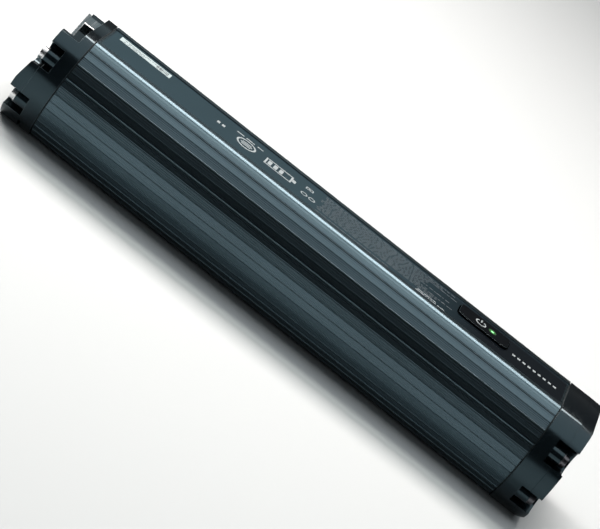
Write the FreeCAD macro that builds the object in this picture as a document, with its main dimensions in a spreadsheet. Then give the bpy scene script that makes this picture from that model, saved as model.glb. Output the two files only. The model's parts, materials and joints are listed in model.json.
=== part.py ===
import FreeCAD, Part
import math
import os
import Sketcher

# Lithium-ion battery pack that slides into a bicycle's down tube, as an assembly of separate pieces.
# Millimetres. X runs along the pack (+X is the connector end, -X the lock end), +Z is up through the label
# face, and the origin is the centre of the footprint, on the surface that the pack lies on.

SIZES = [
    # the barrel's section: flat top and underside joined by an arc on each side
    ("pack_length", 371.0, "overall length"),
    ("half_width", 43.0, "sleeve, half of its width"),
    ("half_height", 33.0, "sleeve, half of its height"),
    ("side_radius", 36.8, "sleeve, radius of its side arcs"),
    ("sleeve_wall", 2.2, "sleeve, wall"),
    ("cap_proud", 0.5, "caps stand this much outside the sleeve"),
    # stations along the pack, from the middle
    ("joint_x", 163.2, "where a cap's flange starts"),
    ("recess_x", 172.0, "floor of the screw recesses"),
    ("seam_x", 177.5, "seam between a cap's body and its cover"),
    ("gasket_thickness", 0.6, "end gasket, between sleeve and cap"),
    ("spigot_depth", 6.0, "how far a cap reaches into the sleeve"),
    ("spigot_wall", 2.2, "wall of that spigot"),
    ("slip_gap", 0.35, "clearance of a part that slips into the sleeve"),
    # lengthwise grooves of the sleeve
    ("groove_pitch", 8.1, "degrees between grooves, about the side arc's centre"),
    ("groove_count", 14, "grooves on each side"),
    ("groove_width", 0.9, "groove, across its mouth"),
    ("groove_depth", 0.4, "groove, depth"),
    # end screws
    ("screw_circle", 32.3, "end screws, distance from the side arc's centre"),
    ("screw_angle", 26.3, "end screws, degrees above or below mid-height"),
    ("recess_radius", 7.6, "screw recess, half of its width"),
    ("recess_reach", 20.0, "screw recess, how far its cutter reaches out"),
    ("boss_radius", 4.8, "screw boss"),
    ("boss_end_x", 179.6, "outer end of the screw bosses"),
    ("port_radius", 3.6, "screw port inside the sleeve, outer radius"),
    ("port_gap", 0.6, "clearance round the screw ports"),
    ("thread_radius", 2.0, "end screw, thread"),
    ("thread_gap", 0.1, "clearance round the thread"),
    ("washer_radius", 4.5, "washer"),
    ("washer_thickness", 0.8, "washer"),
    ("head_radius", 3.9, "end screw, head"),
    ("head_height", 2.6, "end screw, head"),
    ("drive_radius", 1.9, "end screw, six-sided drive socket"),
    ("drive_depth", 1.5, "end screw, six-sided drive socket"),
    ("screw_length", 30.0, "end screw, under its head"),
    # lock end
    ("lock_body_x", 183.8, "outer face of the lock cap's lower block"),
    ("cheek_x", 181.5, "outer face of the lock cap above its cover bar"),
    ("cheek_z", 63.0, "top of the cheek beside the ledge"),
    ("cheek_y", -25.2, "where the cheek meets the ledge"),
    ("bar_seat_x", 178.0, "where the cover bar is let into the cap's body"),
    ("bar_half_height", 9.3, "cover bar, half of its height"),
    ("bar_gap", 0.1, "clearance above and below the cover bar"),
    ("bar_slope", 2.2, "how far the cover bar's upper edge is set back"),
    ("bar_slope_low", 3.0, "where that slope starts, below mid-height"),
    ("ring_end_x", 169.7, "end of the full-height ring at the label side"),
    ("ledge_z", 61.2, "height of the ledge beyond that ring"),
    ("latch_near_x", 170.1, "latch pocket, side towards the sleeve"),
    ("latch_low_y", -7.5, "latch pocket, -Y side"),
    ("latch_high_y", 9.0, "latch pocket, +Y side"),
    ("latch_depth", 14.0, "latch pocket"),
    ("strike_far_x", 177.0, "strike plate, outer face at its -Y end"),
    ("strike_low_y", -24.0, "strike plate, -Y end"),
    ("strike_length", 51.2, "strike plate"),
    ("strike_thickness", 2.0, "strike plate"),
    ("strike_turn", 5.1, "strike plate, angle to the Y axis in degrees"),
    ("tab_high_y", 24.0, "strike plate's tab, +Y end"),
    ("tab_far_x", 179.6, "strike plate's tab, end inside the plate"),
    ("strike_depth", 13.0, "strike plate, below the ledge"),
    ("strike_proud", 0.3, "strike plate, above the ledge"),
    ("tab_depth", 5.0, "strike plate's tab, thickness"),
    ("fit_gap", 0.1, "gap round parts let into another"),
    ("under_slot_x", 171.0, "slot across the underside, centre"),
    ("under_slot_width", 1.8, "slot across the underside"),
    ("under_slot_depth", 6.5, "slot across the underside"),
    ("hollow_half_width", 24.0, "hollow inside a cap"),
    ("hollow_low_z", 9.0, "hollow inside a cap, lowest"),
    ("hollow_high_z", 44.0, "hollow inside the lock cap, highest"),
    ("web_thickness", 4.0, "end wall behind a cap's hollow"),
    # connector end
    ("socket_half_width", 21.0, "terminal socket"),
    ("socket_half_height", 9.5, "terminal socket"),
    ("socket_face_x", 178.3, "face of the terminal block"),
    ("socket_back_x", 166.0, "back of the terminal block"),
    ("chamfer_along", 4.0, "chamfer under the cover, along the pack"),
    ("chamfer_up", 5.4, "chamfer under the cover, upwards"),
    ("slope_drop", 0.7, "fall of the cover's top face to its end"),
    ("blade_width", 9.0, "power terminal, across"),
    ("blade_thickness", 1.6, "power terminal"),
    ("blade_y", 13.0, "power terminals, from the middle"),
    ("blade_proud", 5.0, "terminals, out of the block's face"),
    ("pin_radius", 0.8, "signal pins"),
    ("pin_pitch", 3.4, "signal pins"),
    ("pin_count", 4, "signal pins"),
    ("seal_width", 1.4, "terminal seal"),
    ("vent_radius", 4.0, "vent plug"),
    ("vent_z", 52.5, "vent plug, height"),
    ("vent_length", 3.0, "vent plug"),
    ("cover_screw_y", 16.0, "cover screws, from the middle"),
    ("cover_screw_z", 13.5, "cover screws, height"),
    ("cover_screw_radius", 1.5, "cover screws, thread"),
    ("cover_head_radius", 2.8, "cover screws, head"),
    ("cover_head_height", 1.8, "cover screws, head"),
    ("cover_screw_length", 10.0, "cover screws, under the head"),
    # label face
    ("rim_y", 17.3, "rims beside the label, from the middle"),
    ("rim_outer_y", 20.6, "rims beside the label, outer edge of the crown"),
    ("rim_rise", 0.8, "rims beside the label, above the flat top"),
    ("rim_wall", 0.5, "rims beside the label, slope of the inner wall"),
    ("rim_slope", 1.7, "rims beside the label, slope of the outer side"),
    ("rim_root", 0.4, "rims beside the label, into the sleeve"),
    ("label_half_width", 17.2, "label film"),
    ("label_thickness", 0.15, "label film"),
    ("label_margin", 1.5, "label film, from the sleeve's end"),
    ("sticker_low_x", -156.7, "serial sticker"),
    ("sticker_length", 35.4, "serial sticker"),
    ("sticker_low_y", 7.7, "serial sticker"),
    ("sticker_width", 6.8, "serial sticker"),
    ("sticker_thickness", 0.1, "serial sticker"),
    # power button
    ("button_x", 103.5, "power button, centre"),
    ("button_y", 4.0, "power button, centre"),
    ("button_length", 34.0, "power button"),
    ("button_width", 16.5, "power button"),
    ("button_corner", 3.5, "power button, corner radius"),
    ("button_proud", 1.4, "power button, above the sleeve"),
    ("button_moat", 0.75, "gap round the button"),
    ("button_travel", 0.6, "how far the button is pressed"),
    ("bezel_rim", 1.4, "bezel's lip round the button"),
    ("bezel_flange", 3.0, "bezel, beyond the cut-out, inside the sleeve"),
    ("flange_side", 1.3, "button's flange, beyond the button"),
    ("flange_top", 2.7, "button's flange, below the sleeve's top"),
    ("flange_thickness", 1.2, "button's flange"),
    ("board_top", 5.1, "switch board's top, below the sleeve's top"),
    ("board_thickness", 1.0, "switch board"),
    ("dome_radius", 3.0, "dome switch"),
    ("dome_height", 0.55, "dome switch"),
    ("lens_offset", 5.5, "status light, from the button's centre"),
    ("lens_radius", 1.0, "status light lens"),
    ("lens_gap", 0.05, "clearance round the lens"),
    ("led_size", 1.6, "light-emitting diode"),
    ("cable_width", 6.0, "switch cable"),
    ("cable_thickness", 0.3, "switch cable"),
    # cells
    ("cell_radius", 9.15, "round cell"),
    ("cell_length", 65.2, "round cell, over its nub"),
    ("nub_radius", 3.0, "cell's positive nub"),
    ("nub_height", 0.8, "cell's positive nub"),
    ("cell_pitch", 19.1, "between neighbouring cells"),
    ("column_gap", 2.4, "between columns of cells"),
    ("column_start", -154.0, "first column's end"),
    ("holder_hole", 9.35, "cell holder, hole radius"),
    ("holder_thickness", 7.0, "cell holder"),
    ("holder_half_height", 26.4, "cell holder"),
    ("ring_radius", 8.0, "insulator ring"),
    ("ring_thickness", 0.3, "insulator ring"),
    ("strip_width", 7.0, "nickel link"),
    ("strip_overlap", 4.0, "nickel link, beyond a cell's centre"),
    ("strip_thickness", 0.3, "nickel link"),
    ("sheet_thickness", 0.3, "insulation sheet"),
    ("lead_radius", 1.8, "main leads"),
    ("lead_y", 30.5, "main leads"),
    ("lead_z", 19.0, "main leads, from mid-height"),
    ("channel_radius", 2.3, "lead channels in the holders"),
    ("harness_y", -26.0, "balance harness, its -Y edge"),
    ("harness_width", 10.0, "balance harness"),
    ("harness_thickness", 1.0, "balance harness"),
    ("pad_length", 44.0, "foam pad"),
    ("pad_width", 16.0, "foam pad"),
    ("bead_radius", 1.4, "thermistor bead"),
    ("bead_length", 5.0, "thermistor bead"),
    ("bead_rise", 6.3, "thermistor bead, above the top row's axes"),
    # battery-management board, beside the cells
    ("carrier_x", 118.0, "board carrier, side towards the cells"),
    ("carrier_length", 36.0, "board carrier"),
    ("carrier_half_width", 21.5, "board carrier"),
    ("carrier_height", 22.0, "board carrier"),
    ("carrier_wall", 2.0, "board carrier"),
    ("post_radius", 2.5, "board standoff"),
    ("post_height", 3.0, "board standoff"),
    ("post_inset", 3.0, "board standoff, from the carrier's edge"),
    ("bms_half_width", 33.0, "management board"),
    ("bms_thickness", 1.6, "management board"),
    ("small_screw_radius", 1.2, "board screw"),
    ("small_head_radius", 2.3, "board screw, head"),
    ("small_head_height", 1.5, "board screw, head"),
    ("small_screw_length", 6.0, "board screw, under the head"),
    ("transistor_length", 6.0, "power transistor"),
    ("transistor_width", 5.0, "power transistor"),
    ("transistor_height", 1.1, "power transistor"),
    ("transistor_pitch", 8.0, "power transistors"),
    ("transistor_count", 6, "power transistors"),
    ("spreader_height", 6.0, "heat spreader"),
    ("chip_size", 8.0, "controller chip"),
    ("chip_height", 1.2, "controller chip"),
    ("capacitor_radius", 3.2, "capacitor"),
    ("capacitor_height", 8.0, "capacitor"),
    ("fuse_radius", 2.6, "fuse"),
    ("fuse_length", 14.0, "fuse"),
    ("shunt_length", 10.0, "current shunt"),
    ("shunt_width", 5.0, "current shunt"),
    ("shunt_height", 1.4, "current shunt"),
    ("plug_length", 6.0, "harness connector"),
    ("plug_width", 18.0, "harness connector"),
    ("plug_height", 5.0, "harness connector"),
]

MID = "(Dim.half_height + Dim.cap_proud)"
NONE = "0 mm"
TOP = "(Dim.half_height * 2 + Dim.cap_proud)"
FLOOR = "(Dim.cap_proud + Dim.sleeve_wall)"
ARC = "(Dim.half_width - Dim.side_radius)"
END = "(Dim.pack_length / 2)"
SLEEVE_END = "(Dim.joint_x - Dim.gasket_thickness)"
SCREW_Y = f"({ARC} + Dim.screw_circle * cos(Dim.screw_angle * 1 deg))"
SCREW_Z = "(Dim.screw_circle * sin(Dim.screw_angle * 1 deg))"
COLUMN_PITCH = "(Dim.cell_length + Dim.column_gap)"
ROW_Z = "(Dim.cell_pitch * sqrt(3) / 2)"
BOARD_TOP = f"({TOP} - Dim.board_top)"
BMS_LOW = f"({FLOOR} + Dim.fit_gap + Dim.carrier_height + Dim.post_height)"
BMS_TOP = f"({BMS_LOW} + Dim.bms_thickness)"
CARRIER_MID = "(Dim.carrier_x + Dim.carrier_length / 2)"
CORNERS = [(1, 1), (1, -1), (-1, 1), (-1, -1)]

doc = FreeCAD.newDocument("battery_pack")
nodes = {}


# ---- driving dimensions and small tools -------------------------------------------------------------------
def fill_sheet():
    sheet = doc.addObject("Spreadsheet::Sheet", "Dim")
    for row, (alias, size, meaning) in enumerate(SIZES, start=1):
        sheet.set(f"A{row}", meaning)
        sheet.set(f"B{row}", str(size))
        sheet.setAlias(f"B{row}", alias)
    doc.recompute()
    return sheet


dim = fill_sheet()


def number(expression):
    """The present value of an expression over the sheet."""
    return float(dim.evalExpression(expression))


def keep(name, piece):
    """Make a piece one of the pack's sub-parts, under the name that its file takes."""
    piece.Label = name
    nodes[name] = piece
    return piece


def place(piece, x, y, z, turn=None):
    """Put a piece at a place given by three expressions, turned first by a fixed rotation."""
    piece.Placement = FreeCAD.Placement(FreeCAD.Vector(0, 0, 0), turn or FreeCAD.Rotation())
    for axis, expression in zip("xyz", (x, y, z)):
        piece.setExpression(f".Placement.Base.{axis}", expression)
    return piece


ALONG_X = FreeCAD.Rotation(FreeCAD.Vector(0, 1, 0), 90)
FLIPPED = FreeCAD.Rotation(FreeCAD.Vector(0, 0, 1), 180)


def block(name, lows, sizes):
    """A box from its lowest corner and its three sizes, as expressions."""
    piece = doc.addObject("Part::Box", name)
    for side, expression in zip(("Length", "Width", "Height"), sizes):
        piece.setExpression(side, expression)
    return place(piece, *lows)


def rod(name, start, radius, length, turn=ALONG_X):
    """A round bar that starts at a point and runs along X, or along Z with no turn."""
    piece = doc.addObject("Part::Cylinder", name)
    piece.setExpression("Radius", radius)
    piece.setExpression("Height", length)
    return place(piece, *start, turn)


def group(name, pieces):
    """Separate solids that share one node."""
    cluster = doc.addObject("Part::Compound", name)
    cluster.Links = pieces
    return keep(name, cluster)


def copies(name, master, places):
    """One node of linked copies of a master, at places given as (x, y, z, rotation)."""
    links = []
    for index, (x, y, z, turn) in enumerate(places):
        link = doc.addObject("App::Link", f"{name}_copy_{index}")
        link.LinkedObject = master
        links.append(place(link, x, y, z, turn))
    return group(name, links)


def minus(name, base, tool):
    cut_piece = doc.addObject("Part::Cut", name)
    cut_piece.Base = base
    cut_piece.Tool = tool
    return cut_piece


def joined(name, pieces):
    fused = doc.addObject("Part::MultiFuse", name)
    fused.Shapes = pieces
    return fused


# ---- sketches and features --------------------------------------------------------------------------------
def new_body(name):
    return doc.addObject("PartDesign::Body", name)


def new_sketch(body, plane_role, along="0", right="0", up="0", turn=0.0):
    """A sketch on one of the body's origin planes, moved along its normal and within it, then turned."""
    sketch = body.newObject("Sketcher::SketchObject", f"{body.Name}_sketch")
    plane = [item for item in body.Origin.OriginFeatures if item.Role == plane_role][0]
    sketch.AttachmentSupport = [(plane, "")]
    sketch.MapMode = "FlatFace"
    about_normal = FreeCAD.Rotation(FreeCAD.Vector(0, 0, 1), turn)
    sketch.AttachmentOffset = FreeCAD.Placement(FreeCAD.Vector(0, 0, 0), about_normal)
    for axis, expression in zip("xyz", (right, up, along)):
        sketch.setExpression(f".AttachmentOffset.Base.{axis}", expression)
    return sketch


def bound(sketch, kind, geometry, expression):
    """A dimension whose value is bound to an expression; geometry is an index, or an index and a point."""
    where = geometry if isinstance(geometry, tuple) else (geometry,)
    index = sketch.addConstraint(Sketcher.Constraint(kind, *where, number(expression)))
    sketch.setExpression(f"Constraints[{index}]", expression)


def polygon(sketch, corners):
    """A closed outline through corners given as pairs of expressions."""
    points = [FreeCAD.Vector(number(x), number(y), 0) for x, y in corners]
    first = sketch.GeometryCount
    count = len(points)
    for index, point in enumerate(points):
        sketch.addGeometry(Part.LineSegment(point, points[(index + 1) % count]), False)
    for index in range(count):
        following = first + (index + 1) % count
        sketch.addConstraint(Sketcher.Constraint("Coincident", first + index, 2, following, 1))
    for index, (x, y) in enumerate(corners):
        bound(sketch, "DistanceX", (first + index, 1), x)
        bound(sketch, "DistanceY", (first + index, 1), y)


def rectangle(sketch, left, low, right, high):
    polygon(sketch, [(left, low), (right, low), (right, high), (left, high)])


def circle(sketch, x, y, radius):
    centre = FreeCAD.Vector(number(x), number(y), 0)
    ring = Part.Circle(centre, FreeCAD.Vector(0, 0, 1), number(radius))
    index = sketch.addGeometry(ring, False)
    bound(sketch, "Radius", index, radius)
    bound(sketch, "DistanceX", (index, 3), x)
    bound(sketch, "DistanceY", (index, 3), y)


def arc_between(sketch, x, radius, start, end):
    """An arc about a point of the sketch's own X axis, from one angle to another."""
    ring = Part.Circle(FreeCAD.Vector(number(x), 0, 0), FreeCAD.Vector(0, 0, 1), number(radius))
    index = sketch.addGeometry(Part.ArcOfCircle(ring, start, end), False)
    bound(sketch, "Radius", index, radius)
    bound(sketch, "DistanceX", (index, 3), x)
    sketch.addConstraint(Sketcher.Constraint("PointOnObject", index, 3, -1))
    return index


def straight(sketch, start, end):
    ends = [FreeCAD.Vector(*start, 0), FreeCAD.Vector(*end, 0)]
    return sketch.addGeometry(Part.LineSegment(*ends), False)


def barrel(sketch, grow="0", half_height=None):
    """The pack's section, grown outwards, with its flats at a height of their own where one is given."""
    height = half_height or f"(Dim.half_height + {grow})"
    radius = f"(Dim.side_radius + {grow})"
    rise = math.asin(number(height) / number(radius))
    reach = number(ARC) + number(radius) * math.cos(rise)
    level = number(height)
    right = arc_between(sketch, ARC, radius, -rise, rise)
    left = arc_between(sketch, f"-{ARC}", radius, math.pi - rise, math.pi + rise)
    over = straight(sketch, (reach, level), (-reach, level))
    under = straight(sketch, (-reach, -level), (reach, -level))
    for first, first_end, second, second_end in (
        (right, 2, over, 1),
        (over, 2, left, 1),
        (left, 2, under, 1),
        (under, 2, right, 1),
    ):
        sketch.addConstraint(Sketcher.Constraint("Coincident", first, first_end, second, second_end))
    sketch.addConstraint(Sketcher.Constraint("Horizontal", over))
    sketch.addConstraint(Sketcher.Constraint("Horizontal", under))
    bound(sketch, "DistanceY", (over, 1), height)
    bound(sketch, "DistanceY", (under, 1), f"-{height}")


def pill(sketch, length, width, shift="0"):
    """A rounded slot along the sketch's X axis, its centre moved along that axis."""
    radius = f"({width}) / 2"
    reach = f"(({length}) - ({width})) / 2"
    quarter = math.pi / 2
    right = arc_between(sketch, f"{shift} + {reach}", radius, -quarter, quarter)
    left = arc_between(sketch, f"{shift} - {reach}", radius, quarter, 3 * quarter)
    low_x = number(f"{shift} - {reach}")
    high_x = number(f"{shift} + {reach}")
    side = number(radius)
    over = straight(sketch, (high_x, side), (low_x, side))
    under = straight(sketch, (low_x, -side), (high_x, -side))
    for first, first_end, second, second_end in (
        (right, 2, over, 1),
        (over, 2, left, 1),
        (left, 2, under, 1),
        (under, 2, right, 1),
    ):
        sketch.addConstraint(Sketcher.Constraint("Tangent", first, first_end, second, second_end))


def rounded_rectangle(sketch, length, width, radius):
    """A rectangle with rounded corners about the sketch's origin."""
    arcs = []
    for step, (right, up) in enumerate(((1, 1), (-1, 1), (-1, -1), (1, -1))):
        x = f"{right} * (({length}) / 2 - ({radius}))"
        y = f"{up} * (({width}) / 2 - ({radius}))"
        centre = FreeCAD.Vector(number(x), number(y), 0)
        ring = Part.Circle(centre, FreeCAD.Vector(0, 0, 1), number(radius))
        start = step * math.pi / 2
        index = sketch.addGeometry(Part.ArcOfCircle(ring, start, start + math.pi / 2), False)
        bound(sketch, "Radius", index, radius)
        bound(sketch, "DistanceX", (index, 3), x)
        bound(sketch, "DistanceY", (index, 3), y)
        arcs.append(index)
    for index, following in zip(arcs, arcs[1:] + arcs[:1]):
        start, end = sketch.getPoint(index, 2), sketch.getPoint(following, 1)
        side = straight(sketch, (start.x, start.y), (end.x, end.y))
        sketch.addConstraint(Sketcher.Constraint("Tangent", index, 2, side, 1))
        sketch.addConstraint(Sketcher.Constraint("Tangent", side, 2, following, 1))


def key_outline(sketch, grow="0"):
    """The power button's outline in plan, grown outwards."""
    length = f"Dim.button_length + 2 * ({grow})"
    width = f"Dim.button_width + 2 * ({grow})"
    rounded_rectangle(sketch, length, width, f"(Dim.button_corner + {grow})")


def pad(body, sketch, length, backwards=False, both_ways=False):
    """Add the sketch's outline, along its normal or the other way."""
    feature = body.newObject("PartDesign::Pad", f"{body.Name}_pad")
    return finish_feature(body, feature, sketch, length, backwards, both_ways, adds=True)


def pocket(body, sketch, length, backwards=False, both_ways=False):
    """Cut the sketch's outline: against the sketch's normal, or along it when backwards is true."""
    feature = body.newObject("PartDesign::Pocket", f"{body.Name}_pocket")
    return finish_feature(body, feature, sketch, length, backwards, both_ways, adds=False)


def finish_feature(body, feature, sketch, length, backwards, both_ways, adds):
    before = body.Shape.Volume if not body.Shape.isNull() else 0.0
    feature.Profile = sketch
    feature.Reversed = backwards
    if both_ways:
        feature.SideType = "Symmetric"
    feature.setExpression("Length", length)
    body.Tip = feature
    doc.recompute()
    change = body.Shape.Volume - before
    if (change > 0.01) != adds or (change < -0.01) == adds:
        raise RuntimeError(f"{feature.Name} changed the volume by {change:.3f}")
    return feature


# ---- the sleeve -------------------------------------------------------------------------------------------
def screw_circles(sketch, radius):
    """The four end-screw places in a section sketch whose origin is the section's centre."""
    for side, level in CORNERS:
        circle(sketch, f"{side} * {SCREW_Y}", f"{level} * {SCREW_Z}", radius)


def groove(body, side):
    """One row of lengthwise V grooves round a side arc."""
    start = -number("Dim.groove_pitch * (Dim.groove_count - 1) / 2")
    turn = start if side > 0 else 180 + start
    outline = new_sketch(body, "YZ_Plane", f"-{SLEEVE_END}", f"{side} * {ARC}", MID, turn)
    mouth = "(Dim.side_radius + Dim.groove_depth / 4)"
    half = "(Dim.groove_width / 2)"
    floor = "(Dim.side_radius - Dim.groove_depth)"
    polygon(outline, [(mouth, f"-{half}"), (mouth, half), (floor, f"0 * {half}")])
    first = pocket(body, outline, f"2 * {SLEEVE_END}", backwards=True)
    pattern = body.newObject("PartDesign::PolarPattern", f"{body.Name}_grooves")
    pattern.Originals = [first]
    pattern.Axis = (outline, ["N_Axis"])
    pattern.setExpression("Angle", "Dim.groove_pitch * (Dim.groove_count - 1)")
    pattern.setExpression("Occurrences", "Dim.groove_count")
    body.Tip = pattern
    doc.recompute()


def label_rim(body, side):
    """A low rim along one edge of the flat top."""
    outline = new_sketch(body, "YZ_Plane", f"-{SLEEVE_END}", up=MID)
    root = "(Dim.half_height - Dim.rim_root)"
    crown = "(Dim.half_height + Dim.rim_rise)"
    corners = [
        ("Dim.rim_y", root),
        ("(Dim.rim_y + Dim.rim_wall)", crown),
        ("Dim.rim_outer_y", crown),
        ("(Dim.rim_outer_y + Dim.rim_slope)", root),
    ]
    polygon(outline, [(f"{side} * {y}", z) for y, z in corners])
    pad(body, outline, f"2 * {SLEEVE_END}")


def build_sleeve():
    body = new_body("housing_sleeve")
    tube = new_sketch(body, "YZ_Plane", f"-{SLEEVE_END}", up=MID)
    barrel(tube)
    barrel(tube, "-Dim.sleeve_wall")
    pad(body, tube, f"2 * {SLEEVE_END}")
    label_rim(body, 1)
    label_rim(body, -1)
    ports = new_sketch(body, "YZ_Plane", f"-{SLEEVE_END}", up=MID)
    screw_circles(ports, "Dim.port_radius")
    pad(body, ports, f"2 * {SLEEVE_END}")
    holes = new_sketch(body, "YZ_Plane", f"-{SLEEVE_END}", up=MID)
    screw_circles(holes, "Dim.thread_radius + Dim.thread_gap")
    pocket(body, holes, f"2 * {SLEEVE_END}", backwards=True)
    groove(body, 1)
    groove(body, -1)
    window = new_sketch(body, "XY_Plane", TOP, "Dim.button_x", "Dim.button_y")
    key_outline(window, "Dim.button_moat + Dim.bezel_rim")
    pocket(body, window, "2 * Dim.sleeve_wall")
    keep("housing_sleeve", body)


# ---- end caps ---------------------------------------------------------------------------------------------
def facing(end, x):
    return f"{end} * {x}"


def outward_pad(body, sketch, end, length):
    return pad(body, sketch, length, backwards=end < 0)


def outward_pocket(body, sketch, end, length):
    return pocket(body, sketch, length, backwards=end > 0)


def screw_recesses(body, end, start, length):
    """Four side-open recesses round the screw bosses, from a station outwards."""
    for side, level in CORNERS:
        tilt = number("Dim.screw_angle") * level
        turn = tilt if side > 0 else 180 - tilt
        outline = new_sketch(body, "YZ_Plane", facing(end, start), f"{side} * {ARC}", MID, turn)
        width = "2 * Dim.recess_radius"
        reach = "Dim.recess_reach"
        pill(outline, f"{width} + {reach}", width, f"(Dim.screw_circle + {reach} / 2)")
        outward_pocket(body, outline, end, length)


def spigot(body, end):
    """The ring that reaches into the sleeve, cleared round the sleeve's screw ports."""
    outline = new_sketch(body, "YZ_Plane", facing(end, "Dim.joint_x"), up=MID)
    barrel(outline, "-(Dim.sleeve_wall + Dim.slip_gap)")
    barrel(outline, "-(Dim.sleeve_wall + Dim.slip_gap + Dim.spigot_wall)")
    pad(body, outline, "Dim.spigot_depth", backwards=end > 0)
    clear = new_sketch(body, "YZ_Plane", facing(end, "Dim.joint_x"), up=MID)
    screw_circles(clear, "Dim.port_radius + Dim.port_gap")
    pocket(body, clear, "Dim.spigot_depth", backwards=end < 0)


def cap_shell(name, end, outer_x):
    """A cap's body: flange section, recesses, screw bosses with through holes, and spigot."""
    body = new_body(name)
    section = new_sketch(body, "YZ_Plane", facing(end, "Dim.joint_x"), up=MID)
    barrel(section, "Dim.cap_proud")
    outward_pad(body, section, end, f"{outer_x} - Dim.joint_x")
    screw_recesses(body, end, "Dim.recess_x", "Dim.recess_reach")
    bosses = new_sketch(body, "YZ_Plane", facing(end, "(Dim.recess_x - 1)"), up=MID)
    screw_circles(bosses, "Dim.boss_radius")
    outward_pad(body, bosses, end, "Dim.boss_end_x - Dim.recess_x + 1")
    holes = new_sketch(body, "YZ_Plane", facing(end, "Dim.joint_x"), up=MID)
    screw_circles(holes, "Dim.thread_radius + Dim.thread_gap")
    outward_pocket(body, holes, end, "Dim.boss_end_x - Dim.joint_x + 1")
    spigot(body, end)
    return body


def across(body, left, low, right, high):
    """Cut a rectangle of the side view right across the pack."""
    outline = new_sketch(body, "XZ_Plane")
    rectangle(outline, left, low, right, high)
    pocket(body, outline, "3 * Dim.half_width", both_ways=True)


def sunk(body, top, left, low, right, high, depth):
    """Cut a rectangle of the plan view downwards from a height."""
    outline = new_sketch(body, "XY_Plane", top)
    rectangle(outline, left, low, right, high)
    pocket(body, outline, depth)


def plate_inside(y):
    """X of the strike plate's inner face, with its gap, at a station across the pack."""
    thick = "(Dim.strike_thickness + Dim.fit_gap) / cos(Dim.strike_turn * 1 deg)"
    return f"(-Dim.strike_far_x + {thick} - (({y}) - Dim.strike_low_y) * tan(Dim.strike_turn * 1 deg))"


def build_lock_cap():
    body = cap_shell("lock_cap_body", -1, "Dim.lock_body_x")
    past_end = f"-({END} + 1)"
    above = f"({TOP} + 2)"
    across(body, past_end, "Dim.cheek_z", "-Dim.ring_end_x", above)
    across(body, past_end, MID, "-Dim.cheek_x", above)
    beyond_y = "(Dim.half_width + 2)"
    step = "Dim.cheek_z - Dim.ledge_z"
    sunk(body, "Dim.cheek_z", past_end, "Dim.cheek_y", "-Dim.ring_end_x", beyond_y, step)
    bar = "(Dim.bar_half_height + Dim.bar_gap)"
    across(body, past_end, f"{MID} - {bar}", "-Dim.bar_seat_x", f"{MID} + {bar}")
    slot_half = "Dim.under_slot_width / 2"
    left, right = f"-(Dim.under_slot_x + {slot_half})", f"-(Dim.under_slot_x - {slot_half})"
    across(body, left, "-1", right, "Dim.under_slot_depth")
    gap = "Dim.fit_gap"
    behind_plate = new_sketch(body, "XY_Plane", "Dim.ledge_z")
    corners = [(past_end, "Dim.cheek_y"), (plate_inside("Dim.cheek_y"), "Dim.cheek_y")]
    corners += [(plate_inside(beyond_y), beyond_y), (past_end, beyond_y)]
    polygon(behind_plate, corners)
    pocket(body, behind_plate, f"Dim.strike_depth + {gap}")
    low, high = "Dim.latch_low_y", "Dim.latch_high_y"
    bolt_hole = new_sketch(body, "XY_Plane", "Dim.ledge_z")
    corners = [(plate_inside(low), low), ("-Dim.latch_near_x", low)]
    corners += [("-Dim.latch_near_x", high), (plate_inside(high), high)]
    polygon(bolt_hole, corners)
    pocket(body, bolt_hole, "Dim.latch_depth")
    past_tab = f"Dim.tab_high_y + {gap}"
    tab_depth = f"Dim.tab_depth + {gap}"
    sunk(body, "Dim.ledge_z", "-Dim.tab_far_x", high, "-Dim.latch_near_x", past_tab, tab_depth)
    hollow = new_sketch(body, "YZ_Plane", "-Dim.joint_x")
    wide = "Dim.hollow_half_width"
    rectangle(hollow, f"-{wide}", "Dim.hollow_low_z", wide, "Dim.hollow_high_z")
    outward_pocket(body, hollow, -1, "Dim.bar_seat_x - Dim.joint_x - Dim.web_thickness")
    keep("lock_cap_body", body)


def build_lock_cover():
    """The bar across the lock end, whose rounded ends show between the screw recesses."""
    body = new_body("lock_cap_cover")
    section = new_sketch(body, "YZ_Plane", "-Dim.bar_seat_x", up=MID)
    barrel(section, "Dim.cap_proud")
    outward_pad(body, section, -1, f"{END} - Dim.bar_seat_x")
    beyond = f"-({END} + 1)"
    inside = "-(Dim.bar_seat_x - 1)"
    across(body, beyond, f"{MID} + Dim.bar_half_height", inside, f"{TOP} + 2")
    across(body, beyond, "-1", inside, f"{MID} - Dim.bar_half_height")
    screw_recesses(body, -1, "Dim.bar_seat_x", "Dim.recess_reach")
    slope = new_sketch(body, "XZ_Plane")
    foot = f"({MID} - Dim.bar_slope_low)"
    set_back = f"-({END} - Dim.bar_slope)"
    over = f"({MID} + Dim.bar_half_height)"
    clear = f"({TOP} + 2)"
    polygon(slope, [(beyond, foot), (f"-{END}", foot), (set_back, over), (set_back, clear), (beyond, clear)])
    pocket(body, slope, "3 * Dim.half_width", both_ways=True)
    keep("lock_cap_cover", body)


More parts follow.
